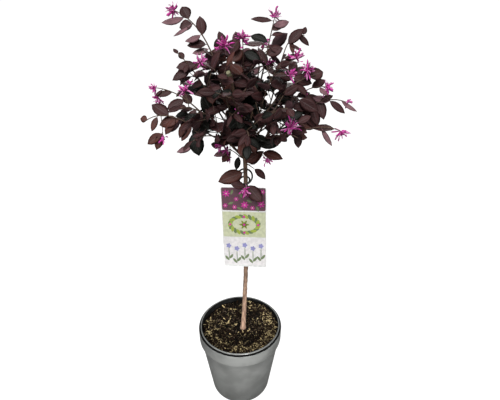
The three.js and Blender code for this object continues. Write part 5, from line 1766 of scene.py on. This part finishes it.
class PLANT_OT_stage(bpy.types.Operator):
    """Lays the floor and sets the lights and the camera"""

    bl_idname = "plant.stage"
    bl_label = "Floor, lights and camera"

    def execute(self, context):
        stage = context.scene.plant_stage
        mesh = bpy.data.meshes.new("floor")
        corners = [(x * FLOOR_HALF, y * FLOOR_HALF, 0) for x, y in ((-1, -1), (1, -1), (1, 1), (-1, 1))]
        mesh.from_pydata(corners, [], [(0, 1, 2, 3)])
        material, shader = new_material("floor", roughness=0.9, specular=0.1)
        shader.inputs["Base Color"].default_value = (*stage.floor, 1)
        shader.inputs["Emission Color"].default_value = (1, 1, 1, 1)
        sight = material.node_tree.nodes.new("ShaderNodeLightPath")
        glow = sums(material.node_tree, "MULTIPLY", sight.outputs["Is Camera Ray"], stage.glow)
        material.node_tree.links.new(glow, shader.inputs["Emission Strength"])
        mesh.materials.append(material)
        floor = put_up("floor", mesh)

        world = bpy.data.worlds.new("surround")
        world.use_nodes = True
        tree = world.node_tree
        seen = tree.nodes["Background"]
        lit = tree.nodes.new("ShaderNodeBackground")
        for background, strength in ((seen, SEEN_SURROUND), (lit, stage.sky)):
            background.inputs["Color"].default_value = (1, 1, 1, 1)
            background.inputs["Strength"].default_value = strength
        sight = tree.nodes.new("ShaderNodeLightPath")
        either = tree.nodes.new("ShaderNodeMixShader")
        tree.links.new(sight.outputs["Is Camera Ray"], either.inputs["Fac"])
        tree.links.new(lit.outputs["Background"], either.inputs[1])
        tree.links.new(seen.outputs["Background"], either.inputs[2])
        tree.links.new(either.outputs["Shader"], tree.nodes["World Output"].inputs["Surface"])
        context.scene.world = world
        context.scene.view_settings.view_transform = "Standard"

        sun = bpy.data.lights.new("sun", "SUN")
        sun.energy, sun.angle = stage.sun, math.radians(SUN_SOFTNESS)
        put_up("sun", sun, angles=[math.radians(angle) for angle in SUN_ANGLES])
        for name, kind, place, goal, power in LAMPS:
            light = bpy.data.lights.new(name, kind)
            light.energy = getattr(stage, power)
            if kind == "SPOT":
                light.spot_size, light.spot_blend = math.radians(SPOT_ANGLE), SPOT_BLEND
                light.shadow_soft_size = SPOT_SOFTNESS
            else:
                light.size = LAMP_SIZE
            aim = np.array(goal) - place
            dip = math.acos(-aim[2] / np.linalg.norm(aim))
            put_up(name, light, place, (dip, 0, math.atan2(aim[1], aim[0]) - math.pi / 2))

        lens = bpy.data.cameras.new("photo_view")
        lens.sensor_width, lens.lens = SENSOR, LENS
        angles = (math.radians(90 - CAMERA_DIP), 0, 0)
        context.scene.camera = put_up("photo_view", lens, CAMERA_PLACE, angles)
        return {"FINISHED"}


OPERATORS = (PLANT_OT_pot, PLANT_OT_soil, PLANT_OT_stem, PLANT_OT_twigs, PLANT_OT_leaves,
             PLANT_OT_blossoms, PLANT_OT_card, PLANT_OT_stage)


class PLANT_PT_panel(bpy.types.Panel):
    """Lists the plant's pieces"""

    bl_idname = "PLANT_PT_panel"
    bl_label = "Potted fringe flower"
    bl_space_type = "VIEW_3D"
    bl_region_type = "UI"
    bl_category = "Plant"

    def draw(self, context):
        """Lists a button for each piece, and then the settings."""
        for operator in OPERATORS:
            self.layout.operator(operator.bl_idname)
        for name in SETTINGS:
            settings = getattr(context.scene, name)
            box = self.layout.box()
            for key in type(settings).__annotations__:
                box.prop(settings, key)


def register():
    """Makes the settings, operators and panel known."""
    for name, group in SETTINGS.items():
        bpy.utils.register_class(group)
        setattr(bpy.types.Scene, name, bpy.props.PointerProperty(type=group))
    for operator in OPERATORS:
        bpy.utils.register_class(operator)
    bpy.utils.register_class(PLANT_PT_panel)


def unregister():
    """Takes away what register made known."""
    bpy.utils.unregister_class(PLANT_PT_panel)
    for operator in OPERATORS:
        bpy.utils.unregister_class(operator)
    for name, group in SETTINGS.items():
        delattr(bpy.types.Scene, name)
        bpy.utils.unregister_class(group)


def main():
    register()
    for operator in OPERATORS:
        getattr(bpy.ops.plant, operator.bl_idname.split(".")[1])()


if __name__ == "__main__":
    main()
